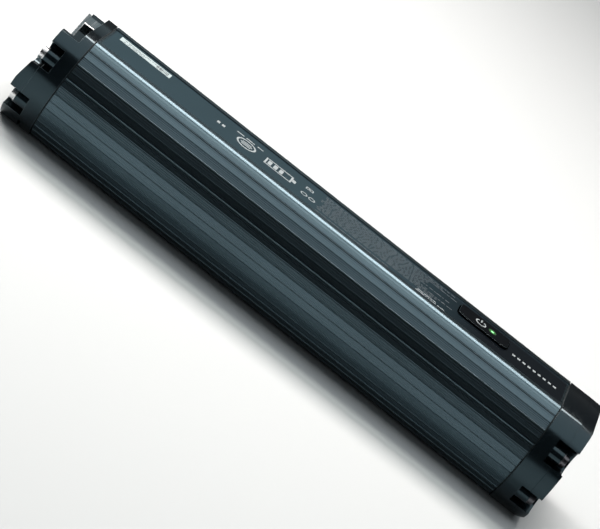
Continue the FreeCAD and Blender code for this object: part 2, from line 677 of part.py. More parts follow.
def build_strike_plate():
    """The keeper: an upright plate behind the latch pocket, with a tab beside the pocket."""
    top = "(Dim.ledge_z + Dim.strike_proud)"
    plate = block(
        "strike_upright",
        ("-Dim.strike_far_x", "Dim.strike_low_y", "Dim.ledge_z - Dim.strike_depth"),
        ("Dim.strike_thickness", "Dim.strike_length", "Dim.strike_depth + Dim.strike_proud"),
    )
    plate.setExpression("Placement.Rotation.Angle", "Dim.strike_turn * 1 deg")
    tab = block(
        "strike_tab",
        ("-Dim.tab_far_x", "Dim.latch_high_y + Dim.fit_gap", f"{top} - Dim.tab_depth - Dim.strike_proud"),
        (
            "Dim.tab_far_x - Dim.latch_near_x - Dim.fit_gap",
            "Dim.tab_high_y - Dim.latch_high_y - Dim.fit_gap",
            "Dim.tab_depth + Dim.strike_proud",
        ),
    )
    keep("strike_plate", joined("strike_plate", [plate, tab]))


def build_connector_cap():
    body = cap_shell("connector_cap_body", 1, "Dim.seam_x")
    tunnel = new_sketch(body, "YZ_Plane", "Dim.joint_x", up=MID)
    wide, tall = "Dim.socket_half_width", "Dim.socket_half_height"
    rectangle(tunnel, f"-{wide}", f"-{tall}", wide, tall)
    outward_pocket(body, tunnel, 1, "Dim.seam_x - Dim.joint_x + 1")
    pilot = new_sketch(body, "YZ_Plane", "Dim.seam_x")
    for side in (1, -1):
        place_y = f"{side} * Dim.cover_screw_y"
        circle(pilot, place_y, "Dim.cover_screw_z", "Dim.cover_screw_radius + Dim.thread_gap")
    reach = f"Dim.cover_screw_length - ({END} - Dim.seam_x) + Dim.vent_length + 1"
    pocket(body, pilot, reach)
    keep("connector_cap_body", body)


def build_connector_cover():
    body = new_body("connector_cap_cover")
    section = new_sketch(body, "YZ_Plane", "Dim.seam_x", up=MID)
    barrel(section, "Dim.cap_proud")
    wide, tall = "Dim.socket_half_width", "Dim.socket_half_height"
    rectangle(section, f"-{wide}", f"-{tall}", wide, tall)
    outward_pad(body, section, 1, f"{END} - Dim.seam_x")
    screw_recesses(body, 1, "Dim.seam_x", "Dim.recess_reach")
    low_edge = new_sketch(body, "XZ_Plane")
    start = f"{END} - Dim.chamfer_along"
    past = f"{END} + 1"
    rise = "Dim.chamfer_up"
    polygon(low_edge, [(start, "-1"), (past, "-1"), (past, rise), (END, rise), (start, f"0 * {rise}")])
    pocket(body, low_edge, "3 * Dim.half_width", both_ways=True)
    slope = new_sketch(body, "XZ_Plane")
    over = f"({TOP} + Dim.cap_proud)"
    clear = f"({over} + 2)"
    inner = "Dim.seam_x"
    polygon(slope, [(inner, over), (past, f"{over} - Dim.slope_drop"), (past, clear), (inner, clear)])
    pocket(body, slope, "3 * Dim.half_width", both_ways=True)
    heads = new_sketch(body, "YZ_Plane", END)
    shanks = new_sketch(body, "YZ_Plane", END)
    for side in (1, -1):
        place_y = f"{side} * Dim.cover_screw_y"
        circle(heads, place_y, "Dim.cover_screw_z", "Dim.cover_head_radius + Dim.fit_gap")
        circle(shanks, place_y, "Dim.cover_screw_z", "Dim.cover_screw_radius + Dim.thread_gap")
    circle(heads, NONE, "Dim.vent_z", "Dim.vent_radius + Dim.fit_gap")
    pocket(body, heads, "Dim.vent_length + Dim.fit_gap")
    pocket(body, shanks, f"{END} - Dim.seam_x")
    keep("connector_cap_cover", body)


def build_end_gasket(name, end):
    body = new_body(name)
    outline = new_sketch(body, "YZ_Plane", facing(end, SLEEVE_END), up=MID)
    barrel(outline, "-Dim.slip_gap")
    barrel(outline, "-Dim.sleeve_wall")
    outward_pad(body, outline, end, "Dim.gasket_thickness")
    keep(name, body)


# ---- screws and washers -----------------------------------------------------------------------------------
def screw_master(name, thread, length, head, head_height, drive=None):
    """A pan-head screw along X, its head's underside at X = 0 and its point towards -X."""
    body = new_body(name)
    shank = new_sketch(body, "YZ_Plane")
    circle(shank, NONE, NONE, thread)
    pad(body, shank, length, backwards=True)
    cap = new_sketch(body, "YZ_Plane")
    circle(cap, NONE, NONE, head)
    pad(body, cap, head_height)
    if drive:
        socket = new_sketch(body, "YZ_Plane", head_height)
        corners = []
        for step in range(6):
            corners.append((f"{drive} * cos({60 * step + 15} deg)", f"{drive} * sin({60 * step + 15} deg)"))
        polygon(socket, corners)
        pocket(body, socket, "Dim.drive_depth")
    return body


def end_places(end, x):
    """The four end-screw places at a station, pointing out of an end."""
    turn = FreeCAD.Rotation() if end > 0 else FLIPPED
    places = []
    for side, level in CORNERS:
        places.append((facing(end, x), f"{side} * {SCREW_Y}", f"{MID} + {level} * {SCREW_Z}", turn))
    return places


def build_end_screws():
    screw = screw_master(
        "end_screw_master",
        "Dim.thread_radius",
        "Dim.screw_length",
        "Dim.head_radius",
        "Dim.head_height",
        "Dim.drive_radius",
    )
    washer = new_body("end_washer_master")
    ring = new_sketch(washer, "YZ_Plane")
    centre = NONE
    circle(ring, centre, centre, "Dim.washer_radius")
    circle(ring, centre, centre, "Dim.thread_radius + Dim.thread_gap")
    pad(washer, ring, "Dim.washer_thickness")
    for name, end in (("lock_end", -1), ("connector_end", 1)):
        copies(f"{name}_washers", washer, end_places(end, "Dim.boss_end_x"))
        seat = "(Dim.boss_end_x + Dim.washer_thickness)"
        copies(f"{name}_screws", screw, end_places(end, seat))


def build_cover_screws():
    screw = screw_master(
        "cover_screw_master",
        "Dim.cover_screw_radius",
        "Dim.cover_screw_length",
        "Dim.cover_head_radius",
        "Dim.cover_head_height",
    )
    seat = f"{END} - Dim.vent_length - Dim.fit_gap"
    places = []
    for side in (1, -1):
        places.append((seat, f"{side} * Dim.cover_screw_y", "Dim.cover_screw_z", FreeCAD.Rotation()))
    copies("cover_screws", screw, places)


# ---- terminals --------------------------------------------------------------------------------------------
def build_terminals():
    gap = "Dim.fit_gap"
    wide = f"(Dim.socket_half_width - {gap})"
    tall = f"(Dim.socket_half_height - {gap})"
    core = new_body("terminal_block")
    outline = new_sketch(core, "YZ_Plane", "Dim.socket_back_x", up=MID)
    rectangle(outline, f"-{wide}", f"-{tall}", wide, tall)
    pad(core, outline, "Dim.socket_face_x - Dim.socket_back_x")
    slots = new_sketch(core, "YZ_Plane", "Dim.socket_face_x", up=MID)
    half_blade = f"(Dim.blade_width / 2 + {gap})"
    half_thick = f"(Dim.blade_thickness / 2 + {gap})"
    for side in (1, -1):
        middle = f"{side} * Dim.blade_y"
        rectangle(slots, f"{middle} - {half_blade}", f"-{half_thick}", f"{middle} + {half_blade}", half_thick)
    pins = int(number("Dim.pin_count"))
    pin_places = [f"({index} - (Dim.pin_count - 1) / 2) * Dim.pin_pitch" for index in range(pins)]
    for pin_y in pin_places:
        circle(slots, pin_y, NONE, f"Dim.pin_radius + {gap}")
    pocket(core, slots, "Dim.socket_face_x - Dim.socket_back_x + 1")
    keep("terminal_block", core)
    inner_x = "(Dim.socket_back_x - Dim.blade_proud)"
    reach = "Dim.socket_face_x - Dim.socket_back_x + 2 * Dim.blade_proud"
    blades = []
    for side in (1, -1):
        low_y = f"{side} * Dim.blade_y - Dim.blade_width / 2"
        low_z = f"{MID} - Dim.blade_thickness / 2"
        sizes = (reach, "Dim.blade_width", "Dim.blade_thickness")
        blades.append(block(f"blade_{side + 1}", (inner_x, low_y, low_z), sizes))
    group("power_terminals", blades)
    rods = []
    for index, pin_y in enumerate(pin_places):
        rods.append(rod(f"pin_{index}", (inner_x, pin_y, MID), "Dim.pin_radius", reach))
    group("signal_terminals", rods)
    seal = new_body("terminal_seal")
    lip = new_sketch(seal, "YZ_Plane", "Dim.socket_face_x", up=MID)
    rectangle(lip, f"-{wide}", f"-{tall}", wide, tall)
    thin = "Dim.seal_width"
    rectangle(lip, f"{thin} - {wide}", f"{thin} - {tall}", f"{wide} - {thin}", f"{tall} - {thin}")
    pad(seal, lip, "Dim.seal_width")
    keep("terminal_seal", seal)
    start = (f"{END} - Dim.vent_length", NONE, "Dim.vent_z")
    keep("vent_plug", rod("vent_plug", start, "Dim.vent_radius", "Dim.vent_length - Dim.fit_gap"))
    leads = []
    lead_start = "(Dim.carrier_x + Dim.carrier_length)"
    for side in (1, -1):
        lead_y = f"{side} * Dim.blade_y"
        place_z = f"{BMS_TOP} + Dim.lead_radius"
        length = f"Dim.socket_back_x - Dim.blade_proud - {lead_start}"
        leads.append(rod(f"discharge_{side + 1}", (lead_start, lead_y, place_z), "Dim.lead_radius", length))
    group("discharge_leads", leads)


# ---- label face and power button --------------------------------------------------------------------------
def build_label():
    body = new_body("label_film")
    film = new_sketch(body, "XY_Plane", TOP)
    reach = f"({SLEEVE_END} - Dim.label_margin)"
    rectangle(film, f"-{reach}", "-Dim.label_half_width", reach, "Dim.label_half_width")
    pad(body, film, "Dim.label_thickness")
    window = new_sketch(body, "XY_Plane", f"{TOP} + Dim.label_thickness", "Dim.button_x", "Dim.button_y")
    key_outline(window, "Dim.button_moat")
    pocket(body, window, "2 * Dim.label_thickness")
    keep("label_film", body)
    sticker = block(
        "serial_sticker",
        ("Dim.sticker_low_x", "Dim.sticker_low_y", f"{TOP} + Dim.label_thickness"),
        ("Dim.sticker_length", "Dim.sticker_width", "Dim.sticker_thickness"),
    )
    keep("serial_sticker", sticker)


def button_sketch(body, down):
    """A plan sketch centred on the button, a distance below the sleeve's top."""
    return new_sketch(body, "XY_Plane", f"{TOP} - ({down})", "Dim.button_x", "Dim.button_y")


def build_button():
    body = new_body("power_button")
    flange = button_sketch(body, "Dim.flange_top + Dim.flange_thickness")
    key_outline(flange, "Dim.flange_side")
    pad(body, flange, "Dim.flange_thickness")
    key = button_sketch(body, "Dim.flange_top")
    key_outline(key)
    pad(body, key, "Dim.flange_top + Dim.button_proud")
    hole = new_sketch(body, "XY_Plane", f"{TOP} + Dim.button_proud", "Dim.button_x", "Dim.button_y")
    circle(hole, "Dim.lens_offset", NONE, "Dim.lens_radius + Dim.lens_gap")
    through = "(Dim.button_proud + Dim.flange_top + Dim.flange_thickness)"
    pocket(body, hole, f"{through} + 1")
    keep("power_button", body)
    low = f"{TOP} - Dim.flange_top - Dim.flange_thickness"
    start = ("Dim.button_x + Dim.lens_offset", "Dim.button_y", low)
    lens = rod("status_light_lens", start, "Dim.lens_radius", through, FreeCAD.Rotation())
    keep("status_light_lens", lens)


def build_bezel():
    """The lip round the button, with a wider foot that clamps it inside the sleeve."""
    body = new_body("button_bezel")
    gap = "Dim.fit_gap"
    foot = button_sketch(body, f"Dim.board_top - {gap}")
    key_outline(foot, "Dim.button_moat + Dim.bezel_rim + Dim.bezel_flange")
    key_outline(foot, f"Dim.flange_side + 2 * {gap}")
    pad(body, foot, "Dim.board_top - Dim.flange_top")
    lip = button_sketch(body, f"Dim.flange_top - {gap}")
    key_outline(lip, f"Dim.button_moat + Dim.bezel_rim - {gap}")
    key_outline(lip, "Dim.button_moat")
    pad(body, lip, f"Dim.flange_top - {gap}")
    keep("button_bezel", body)
    ring = new_body("button_gasket")
    outline = button_sketch(ring, f"Dim.sleeve_wall + {gap} * 3")
    key_outline(outline, "Dim.button_moat + Dim.bezel_rim + Dim.bezel_flange")
    key_outline(outline, f"Dim.button_moat + Dim.bezel_rim + {gap}")
    pad(ring, outline, f"3 * {gap}")
    keep("button_gasket", ring)


def build_switch():
    reach = "(Dim.button_moat + Dim.bezel_rim + Dim.bezel_flange)"
    half_length = f"(Dim.button_length / 2 + {reach})"
    half_width = f"(Dim.button_width / 2 + {reach})"
    low_z = f"{BOARD_TOP} - Dim.board_thickness"
    board = block(
        "switch_board",
        (f"Dim.button_x - {half_length}", f"Dim.button_y - {half_width}", low_z),
        (f"2 * {half_length}", f"2 * {half_width}", "Dim.board_thickness"),
    )
    keep("switch_board", board)
    start = ("Dim.button_x - Dim.lens_offset", "Dim.button_y", BOARD_TOP)
    dome = rod("dome_switch", start, "Dim.dome_radius", "Dim.dome_height", FreeCAD.Rotation())
    keep("dome_switch", dome)
    led_half = "Dim.led_size / 2"
    led = block(
        "status_led",
        (f"Dim.button_x + Dim.lens_offset - {led_half}", f"Dim.button_y - {led_half}", BOARD_TOP),
        ("Dim.led_size", "Dim.led_size", "Dim.dome_height"),
    )
    keep("status_led", led)
    cable_x = f"(Dim.button_x + {half_length})"
    cable = block(
        "switch_cable",
        (cable_x, "Dim.button_y - Dim.cable_width / 2", low_z),
        (f"{SLEEVE_END} - Dim.spigot_depth - {cable_x}", "Dim.cable_width", "Dim.cable_thickness"),
    )
    keep("switch_cable", cable)


# ---- cells ------------------------------------------------------------------------------------------------
def cell_places():
    """Ten places in rows of three, four and three, along the snake that joins them in series."""
    pitch = "Dim.cell_pitch"
    top = [(f"{step} * {pitch}", ROW_Z) for step in (-1, 0, 1)]
    middle = [(f"{step} * {pitch}", f"0 * {ROW_Z}") for step in (1.5, 0.5, -0.5, -1.5)]
    low = [(f"{step} * {pitch}", f"-{ROW_Z}") for step in (-1, 0, 1)]
    return top + middle + low


def column_middle(column):
    return f"(Dim.column_start + Dim.cell_length / 2 + {column} * {COLUMN_PITCH})"


def build_cells():
    cell = new_body("cell_master")
    zero = NONE
    can = new_sketch(cell, "YZ_Plane", "-Dim.cell_length / 2")
    circle(can, zero, zero, "Dim.cell_radius")
    pad(cell, can, "Dim.cell_length - Dim.nub_height")
    nub = new_sketch(cell, "YZ_Plane", "Dim.cell_length / 2 - Dim.nub_height")
    circle(nub, zero, zero, "Dim.nub_radius")
    pad(cell, nub, "Dim.nub_height")
    ring = new_body("cell_ring_master")
    disc = new_sketch(ring, "YZ_Plane", "Dim.cell_length / 2 - Dim.nub_height")
    circle(disc, zero, zero, "Dim.ring_radius")
    circle(disc, zero, zero, "Dim.nub_radius + Dim.fit_gap")
    pad(ring, disc, "Dim.ring_thickness")
    ring_places = []
    for column in range(4):
        places = []
        for index, (y, z) in enumerate(cell_places()):
            turn = FreeCAD.Rotation() if index % 2 else FLIPPED
            places.append((column_middle(column), y, f"{MID} + {z}", turn))
        copies(f"cell_column_{column + 1}", cell, places)
        ring_places += places
    copies("cell_insulator_rings", ring, ring_places)


def build_links():
    """Nickel strips that join neighbouring cells in series, on alternate ends of each column."""
    strip = new_body("cell_link_master")
    outline = new_sketch(strip, "YZ_Plane", "-Dim.strip_thickness / 2")
    reach = "(Dim.cell_pitch / 2 + Dim.strip_overlap)"
    half = "Dim.strip_width / 2"
    rectangle(outline, f"-{reach}", f"-{half}", reach, half)
    pad(strip, outline, "Dim.strip_thickness")
    spots = cell_places()
    places = []
    for column in range(4):
        for index in range(len(spots) - 1):
            (y, z), (next_y, next_z) = spots[index], spots[index + 1]
            across_y = number(next_y) - number(y)
            across_z = number(next_z) - number(z)
            tilt = math.degrees(math.atan2(across_z, across_y))
            turn = FreeCAD.Rotation(FreeCAD.Vector(1, 0, 0), tilt)
            end = 1 if index % 2 else -1
            face = f"{end} * (Dim.cell_length / 2 + Dim.strip_thickness / 2 + Dim.fit_gap / 2)"
            mean_y = f"({y} + {next_y}) / 2"
            mean_z = f"{MID} + ({z} + {next_z}) / 2"
            places.append((f"{column_middle(column)} + {face}", mean_y, mean_z, turn))
    copies("cell_links", strip, places)


def build_holders():
    """Frames that hold both ends of every column, notched for the screw ports and the main leads."""
    frame = new_body("cell_holder_master")
    outline = new_sketch(frame, "YZ_Plane", "-Dim.holder_thickness / 2")
    barrel(outline, "-(Dim.sleeve_wall + Dim.port_gap)", "Dim.holder_half_height")
    for y, z in cell_places():
        circle(outline, y, z, "Dim.holder_hole")
    pad(frame, outline, "Dim.holder_thickness")
    notches = new_sketch(frame, "YZ_Plane", "-Dim.holder_thickness / 2")
    screw_circles(notches, "Dim.port_radius + Dim.port_gap")
    for side in (1, -1):
        circle(notches, "Dim.lead_y", f"{side} * Dim.lead_z", "Dim.channel_radius")
    pocket(frame, notches, "Dim.holder_thickness", backwards=True)
    places = []
    for column in range(4):
        for end in (-1, 1):
            inset = "(Dim.cell_length / 2 - Dim.nub_height - Dim.holder_thickness / 2)"
            middle = f"{column_middle(column)} + {end} * {inset}"
            places.append((middle, NONE, MID, FreeCAD.Rotation()))
    copies("cell_holders", frame, places)


def build_insulation():
    length = f"(4 * Dim.cell_length + 3 * Dim.column_gap)"
    wide = "Dim.carrier_half_width"
    thick = "Dim.sheet_thickness"
    gap = "Dim.fit_gap"
    over_z = f"({MID} + Dim.holder_half_height + {gap})"
    under_z = f"({MID} - Dim.holder_half_height - {gap} - {thick})"
    for name, low_z in (("insulation_sheet_top", over_z), ("insulation_sheet_bottom", under_z)):
        keep(name, block(name, ("Dim.column_start", f"-{wide}", low_z), (length, f"2 * {wide}", thick)))
    sheets = []
    for column in range(1, 4):
        middle = f"(Dim.column_start + {column} * {COLUMN_PITCH} - Dim.column_gap / 2)"
        lows = (f"{middle} - {thick}", "-Dim.lead_y + 2", f"{MID} - Dim.lead_z - 2")
        sizes = (f"2 * {thick}", "2 * (Dim.lead_y - 2)", "2 * (Dim.lead_z + 2)")
        sheets.append(block(f"column_sheet_{column}", lows, sizes))
    group("column_insulators", sheets)
    pads = []
    for index in range(4):
        low_x = f"Dim.column_start + Dim.strip_overlap + {index} * {COLUMN_PITCH}"
        lows = (low_x, "-Dim.pad_width / 2", FLOOR)
        sizes = ("Dim.pad_length", "Dim.pad_width", f"{under_z} - {FLOOR}")
        pads.append(block(f"foam_low_{index}", lows, sizes))
        if index < 3:
            lows = (low_x, "-Dim.pad_width / 2", f"{over_z} + {thick}")
            sizes = ("Dim.pad_length", "Dim.pad_width", f"{TOP} - Dim.sleeve_wall - {over_z} - {thick}")
            pads.append(block(f"foam_high_{index}", lows, sizes))
    group("foam_pads", pads)
    harness = block(
        "balance_harness",
        ("Dim.column_start", "Dim.harness_y", f"{over_z} + {thick}"),
        (f"Dim.carrier_x - Dim.column_start", "Dim.harness_width", "Dim.harness_thickness"),
    )
    keep("balance_harness", harness)
    beads = []
    for column in range(3):
        start = (column_middle(column), "Dim.cell_pitch / 2", f"{MID} + {ROW_Z} + Dim.bead_rise")
        beads.append(rod(f"bead_{column}", start, "Dim.bead_radius", "Dim.bead_length"))
    group("thermistors", beads)
    for name, side in (("positive_lead", 1), ("negative_lead", -1)):
        start = ("Dim.column_start - Dim.column_gap", "Dim.lead_y", f"{MID} + {side} * Dim.lead_z")
        reach = f"{length} + 2 * Dim.column_gap"
        keep(name, rod(name, start, "Dim.lead_radius", reach))


# ---- battery-management board -----------------------------------------------------------------------------
def build_management():
    carrier = new_body("board_carrier")
    wide = "Dim.carrier_half_width"
    base = f"({FLOOR} + Dim.fit_gap)"
    outline = new_sketch(carrier, "XY_Plane", base)
    right = "(Dim.carrier_x + Dim.carrier_length)"
    rectangle(outline, "Dim.carrier_x", f"-{wide}", right, wide)
    pad(carrier, outline, "Dim.carrier_height")
    wall = "Dim.carrier_wall"
    tray = new_sketch(carrier, "XY_Plane", f"{base} + Dim.carrier_height")
    post = "(2 * Dim.post_radius)"
    left_side, right_side = f"Dim.carrier_x + {post} + {wall}", f"{right} - {post} - {wall}"
    rectangle(tray, left_side, f"{wall} - {wide}", right_side, f"{wide} - {wall}")
    pocket(carrier, tray, f"Dim.carrier_height - {wall}")
    keep("board_carrier", carrier)
    posts = []
    screws = []
    hole_radius = "Dim.small_screw_radius + Dim.thread_gap"
    screw = screw_master(
        "board_screw_master",
        "Dim.small_screw_radius",
        "Dim.small_screw_length - Dim.post_height",
        "Dim.small_head_radius",
        "Dim.small_head_height",
    )
    upright = FreeCAD.Rotation(FreeCAD.Vector(0, 1, 0), -90)
    post_y = f"({wide} - Dim.post_inset)"
    for end, side in CORNERS:
        x = f"{CARRIER_MID} + {end} * (Dim.carrier_length / 2 - Dim.post_inset)"
        y = f"{side} * {post_y}"
        start = (x, y, f"{BMS_LOW} - Dim.post_height")
        corner = f"{end + 1}_{side + 1}"
        bar = rod(f"post_{corner}", start, "Dim.post_radius", "Dim.post_height", FreeCAD.Rotation())
        bore = rod(f"post_bore_{corner}", start, hole_radius, "Dim.post_height", FreeCAD.Rotation())
        posts.append(minus(f"post_tube_{corner}", bar, bore))
        screws.append((x, y, BMS_TOP, upright))
    group("board_standoffs", posts)
    board = new_body("bms_board")
    plan = new_sketch(board, "XY_Plane", BMS_LOW)
    rectangle(plan, "Dim.carrier_x", "-Dim.bms_half_width", right, "Dim.bms_half_width")
    for end, side in CORNERS:
        x = f"{CARRIER_MID} + {end} * (Dim.carrier_length / 2 - Dim.post_inset)"
        circle(plan, x, f"{side} * {post_y}", hole_radius)
    pad(board, plan, "Dim.bms_thickness")
    keep("bms_board", board)
    copies("board_screws", screw, screws)
    build_board_parts()


def build_board_parts():
    """What sits on the management board, in rows across the pack."""
    transistors = []
    count = int(number("Dim.transistor_count"))
    row_x = f"({CARRIER_MID} + Dim.transistor_length / 2)"
    for index in range(count):
        low_y = f"({index} - {count} / 2) * Dim.transistor_pitch"
        sizes = ("Dim.transistor_length", "Dim.transistor_width", "Dim.transistor_height")
        transistors.append(block(f"transistor_{index}", (row_x, low_y, BMS_TOP), sizes))
    group("bms_transistors", transistors)
    spreader = block(
        "bms_heat_spreader",
        (row_x, f"-{count} / 2 * Dim.transistor_pitch", f"{BMS_TOP} + Dim.transistor_height"),
        ("Dim.transistor_length", f"{count} * Dim.transistor_pitch", "Dim.spreader_height"),
    )
    keep("bms_heat_spreader", spreader)
    chips = []
    for side in (1, -1):
        low = (f"{CARRIER_MID} - Dim.chip_size", f"{side} * Dim.chip_size - Dim.chip_size / 2", BMS_TOP)
        chips.append(block(f"chip_{side + 1}", low, ("Dim.chip_size", "Dim.chip_size", "Dim.chip_height")))
    group("bms_controller_chips", chips)
    cans = []
    can_x = f"{CARRIER_MID} - Dim.capacitor_radius"
    for side in (1, -1):
        can = (can_x, f"{side} * (Dim.bms_half_width - 2 * Dim.capacitor_radius)", BMS_TOP)
        turn = FreeCAD.Rotation()
        cans.append(rod(f"capacitor_{side + 1}", can, "Dim.capacitor_radius", "Dim.capacitor_height", turn))
    group("bms_capacitors", cans)
    lying = FreeCAD.Rotation(FreeCAD.Vector(1, 0, 0), -90)
    fuse_x = f"{CARRIER_MID} - Dim.chip_size - Dim.fuse_radius - 1"
    fuse_start = (fuse_x, "-Dim.fuse_length / 2", f"{BMS_TOP} + Dim.fuse_radius")
    keep("bms_fuse", rod("bms_fuse", fuse_start, "Dim.fuse_radius", "Dim.fuse_length", lying))
    shunt = block(
        "bms_shunt",
        (f"{row_x} + Dim.transistor_length + 1", "-Dim.shunt_length / 2", BMS_TOP),
        ("Dim.shunt_width", "Dim.shunt_length", "Dim.shunt_height"),
    )
    keep("bms_shunt", shunt)
    plug = block(
        "harness_connector",
        ("Dim.carrier_x", "-Dim.bms_half_width + Dim.fit_gap", f"{BMS_LOW} - Dim.plug_height"),
        ("Dim.plug_length", "Dim.plug_width / 2", "Dim.plug_height"),
    )
    keep("harness_connector", plug)


# ---- build, test and write --------------------------------------------------------------------------------
def test_document():
    doc.recompute()
    for item in doc.Objects:
        if "Invalid" in item.State or "Error" in item.State:
            raise RuntimeError(f"{item.Name} is {item.State}")
    for name, piece in nodes.items():
        shape = piece.Shape
        if shape.isNull() or not shape.isValid() or not shape.Solids:
            raise RuntimeError(f"{name} has no valid solid")


def write_steps():
    os.makedirs("parts", exist_ok=True)
    for name, piece in nodes.items():
        piece.Shape.exportStep(os.path.join("parts", f"{name}.step"))
        print(f"{name}: {len(piece.Shape.Solids)} solids, {piece.Shape.Volume / 1000:.2f} cm3")


build_sleeve()
build_lock_cap()
build_lock_cover()
build_strike_plate()
build_connector_cap()
build_connector_cover()
build_end_gasket("lock_end_gasket", -1)
build_end_gasket("connector_end_gasket", 1)
build_end_screws()
build_cover_screws()
build_terminals()
build_label()
build_button()
build_bezel()
build_switch()
build_cells()
build_links()
build_holders()
build_insulation()
build_management()
test_document()
write_steps()
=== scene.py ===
import json
import math
import random

import bmesh
import bpy
from mathutils import Matrix, Vector

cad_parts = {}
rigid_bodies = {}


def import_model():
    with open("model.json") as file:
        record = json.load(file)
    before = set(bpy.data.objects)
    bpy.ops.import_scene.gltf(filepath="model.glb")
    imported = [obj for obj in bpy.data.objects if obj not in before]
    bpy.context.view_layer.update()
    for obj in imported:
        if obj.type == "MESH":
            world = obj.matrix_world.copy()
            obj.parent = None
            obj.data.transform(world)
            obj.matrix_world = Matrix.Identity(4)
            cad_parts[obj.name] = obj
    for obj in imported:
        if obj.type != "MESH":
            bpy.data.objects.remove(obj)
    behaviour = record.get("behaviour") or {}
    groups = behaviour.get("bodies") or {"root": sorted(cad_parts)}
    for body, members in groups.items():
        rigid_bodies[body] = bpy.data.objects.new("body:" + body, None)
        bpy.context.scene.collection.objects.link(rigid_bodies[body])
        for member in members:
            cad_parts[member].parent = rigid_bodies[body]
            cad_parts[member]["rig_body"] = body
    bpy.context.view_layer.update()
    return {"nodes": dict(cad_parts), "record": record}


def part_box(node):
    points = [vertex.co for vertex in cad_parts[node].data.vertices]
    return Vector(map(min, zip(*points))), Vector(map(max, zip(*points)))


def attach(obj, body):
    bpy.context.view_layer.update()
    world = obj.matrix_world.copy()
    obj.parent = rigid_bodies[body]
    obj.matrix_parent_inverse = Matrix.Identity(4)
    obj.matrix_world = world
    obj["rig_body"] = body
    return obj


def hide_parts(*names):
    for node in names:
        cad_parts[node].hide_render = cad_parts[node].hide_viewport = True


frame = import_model()

# Lengths are metres. X runs along the pack (+X is the connector end), +Z is up through the label face.
MM = 0.001

sleeve_low, sleeve_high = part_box("housing_sleeve")
button_low, button_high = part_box("power_button")
label_low, label_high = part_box("label_film")
lens_low, lens_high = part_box("status_light_lens")
MIDDLE_Z = (sleeve_low.z + label_low.z) / 2
HALF_HEIGHT = (label_low.z - sleeve_low.z) / 2
HALF_WIDTH = sleeve_high.y
SIDE_RADIUS = 36.8 * MM
ARC_Y = HALF_WIDTH - SIDE_RADIUS
FLAT_ANGLE = math.asin(HALF_HEIGHT / SIDE_RADIUS)
FLAT_Y = ARC_Y + SIDE_RADIUS * math.cos(FLAT_ANGLE)
CORNER_RADIUS = 8.0 * MM
RIM_FROM = label_high.y + 0.1 * MM
RIM_WALL = 0.5 * MM
RIM_RISE = sleeve_high.z - label_low.z
RIM_BLEND = 5.0 * MM
GROOVE_PITCH = math.radians(8.1)
WALL = 2.2 * MM


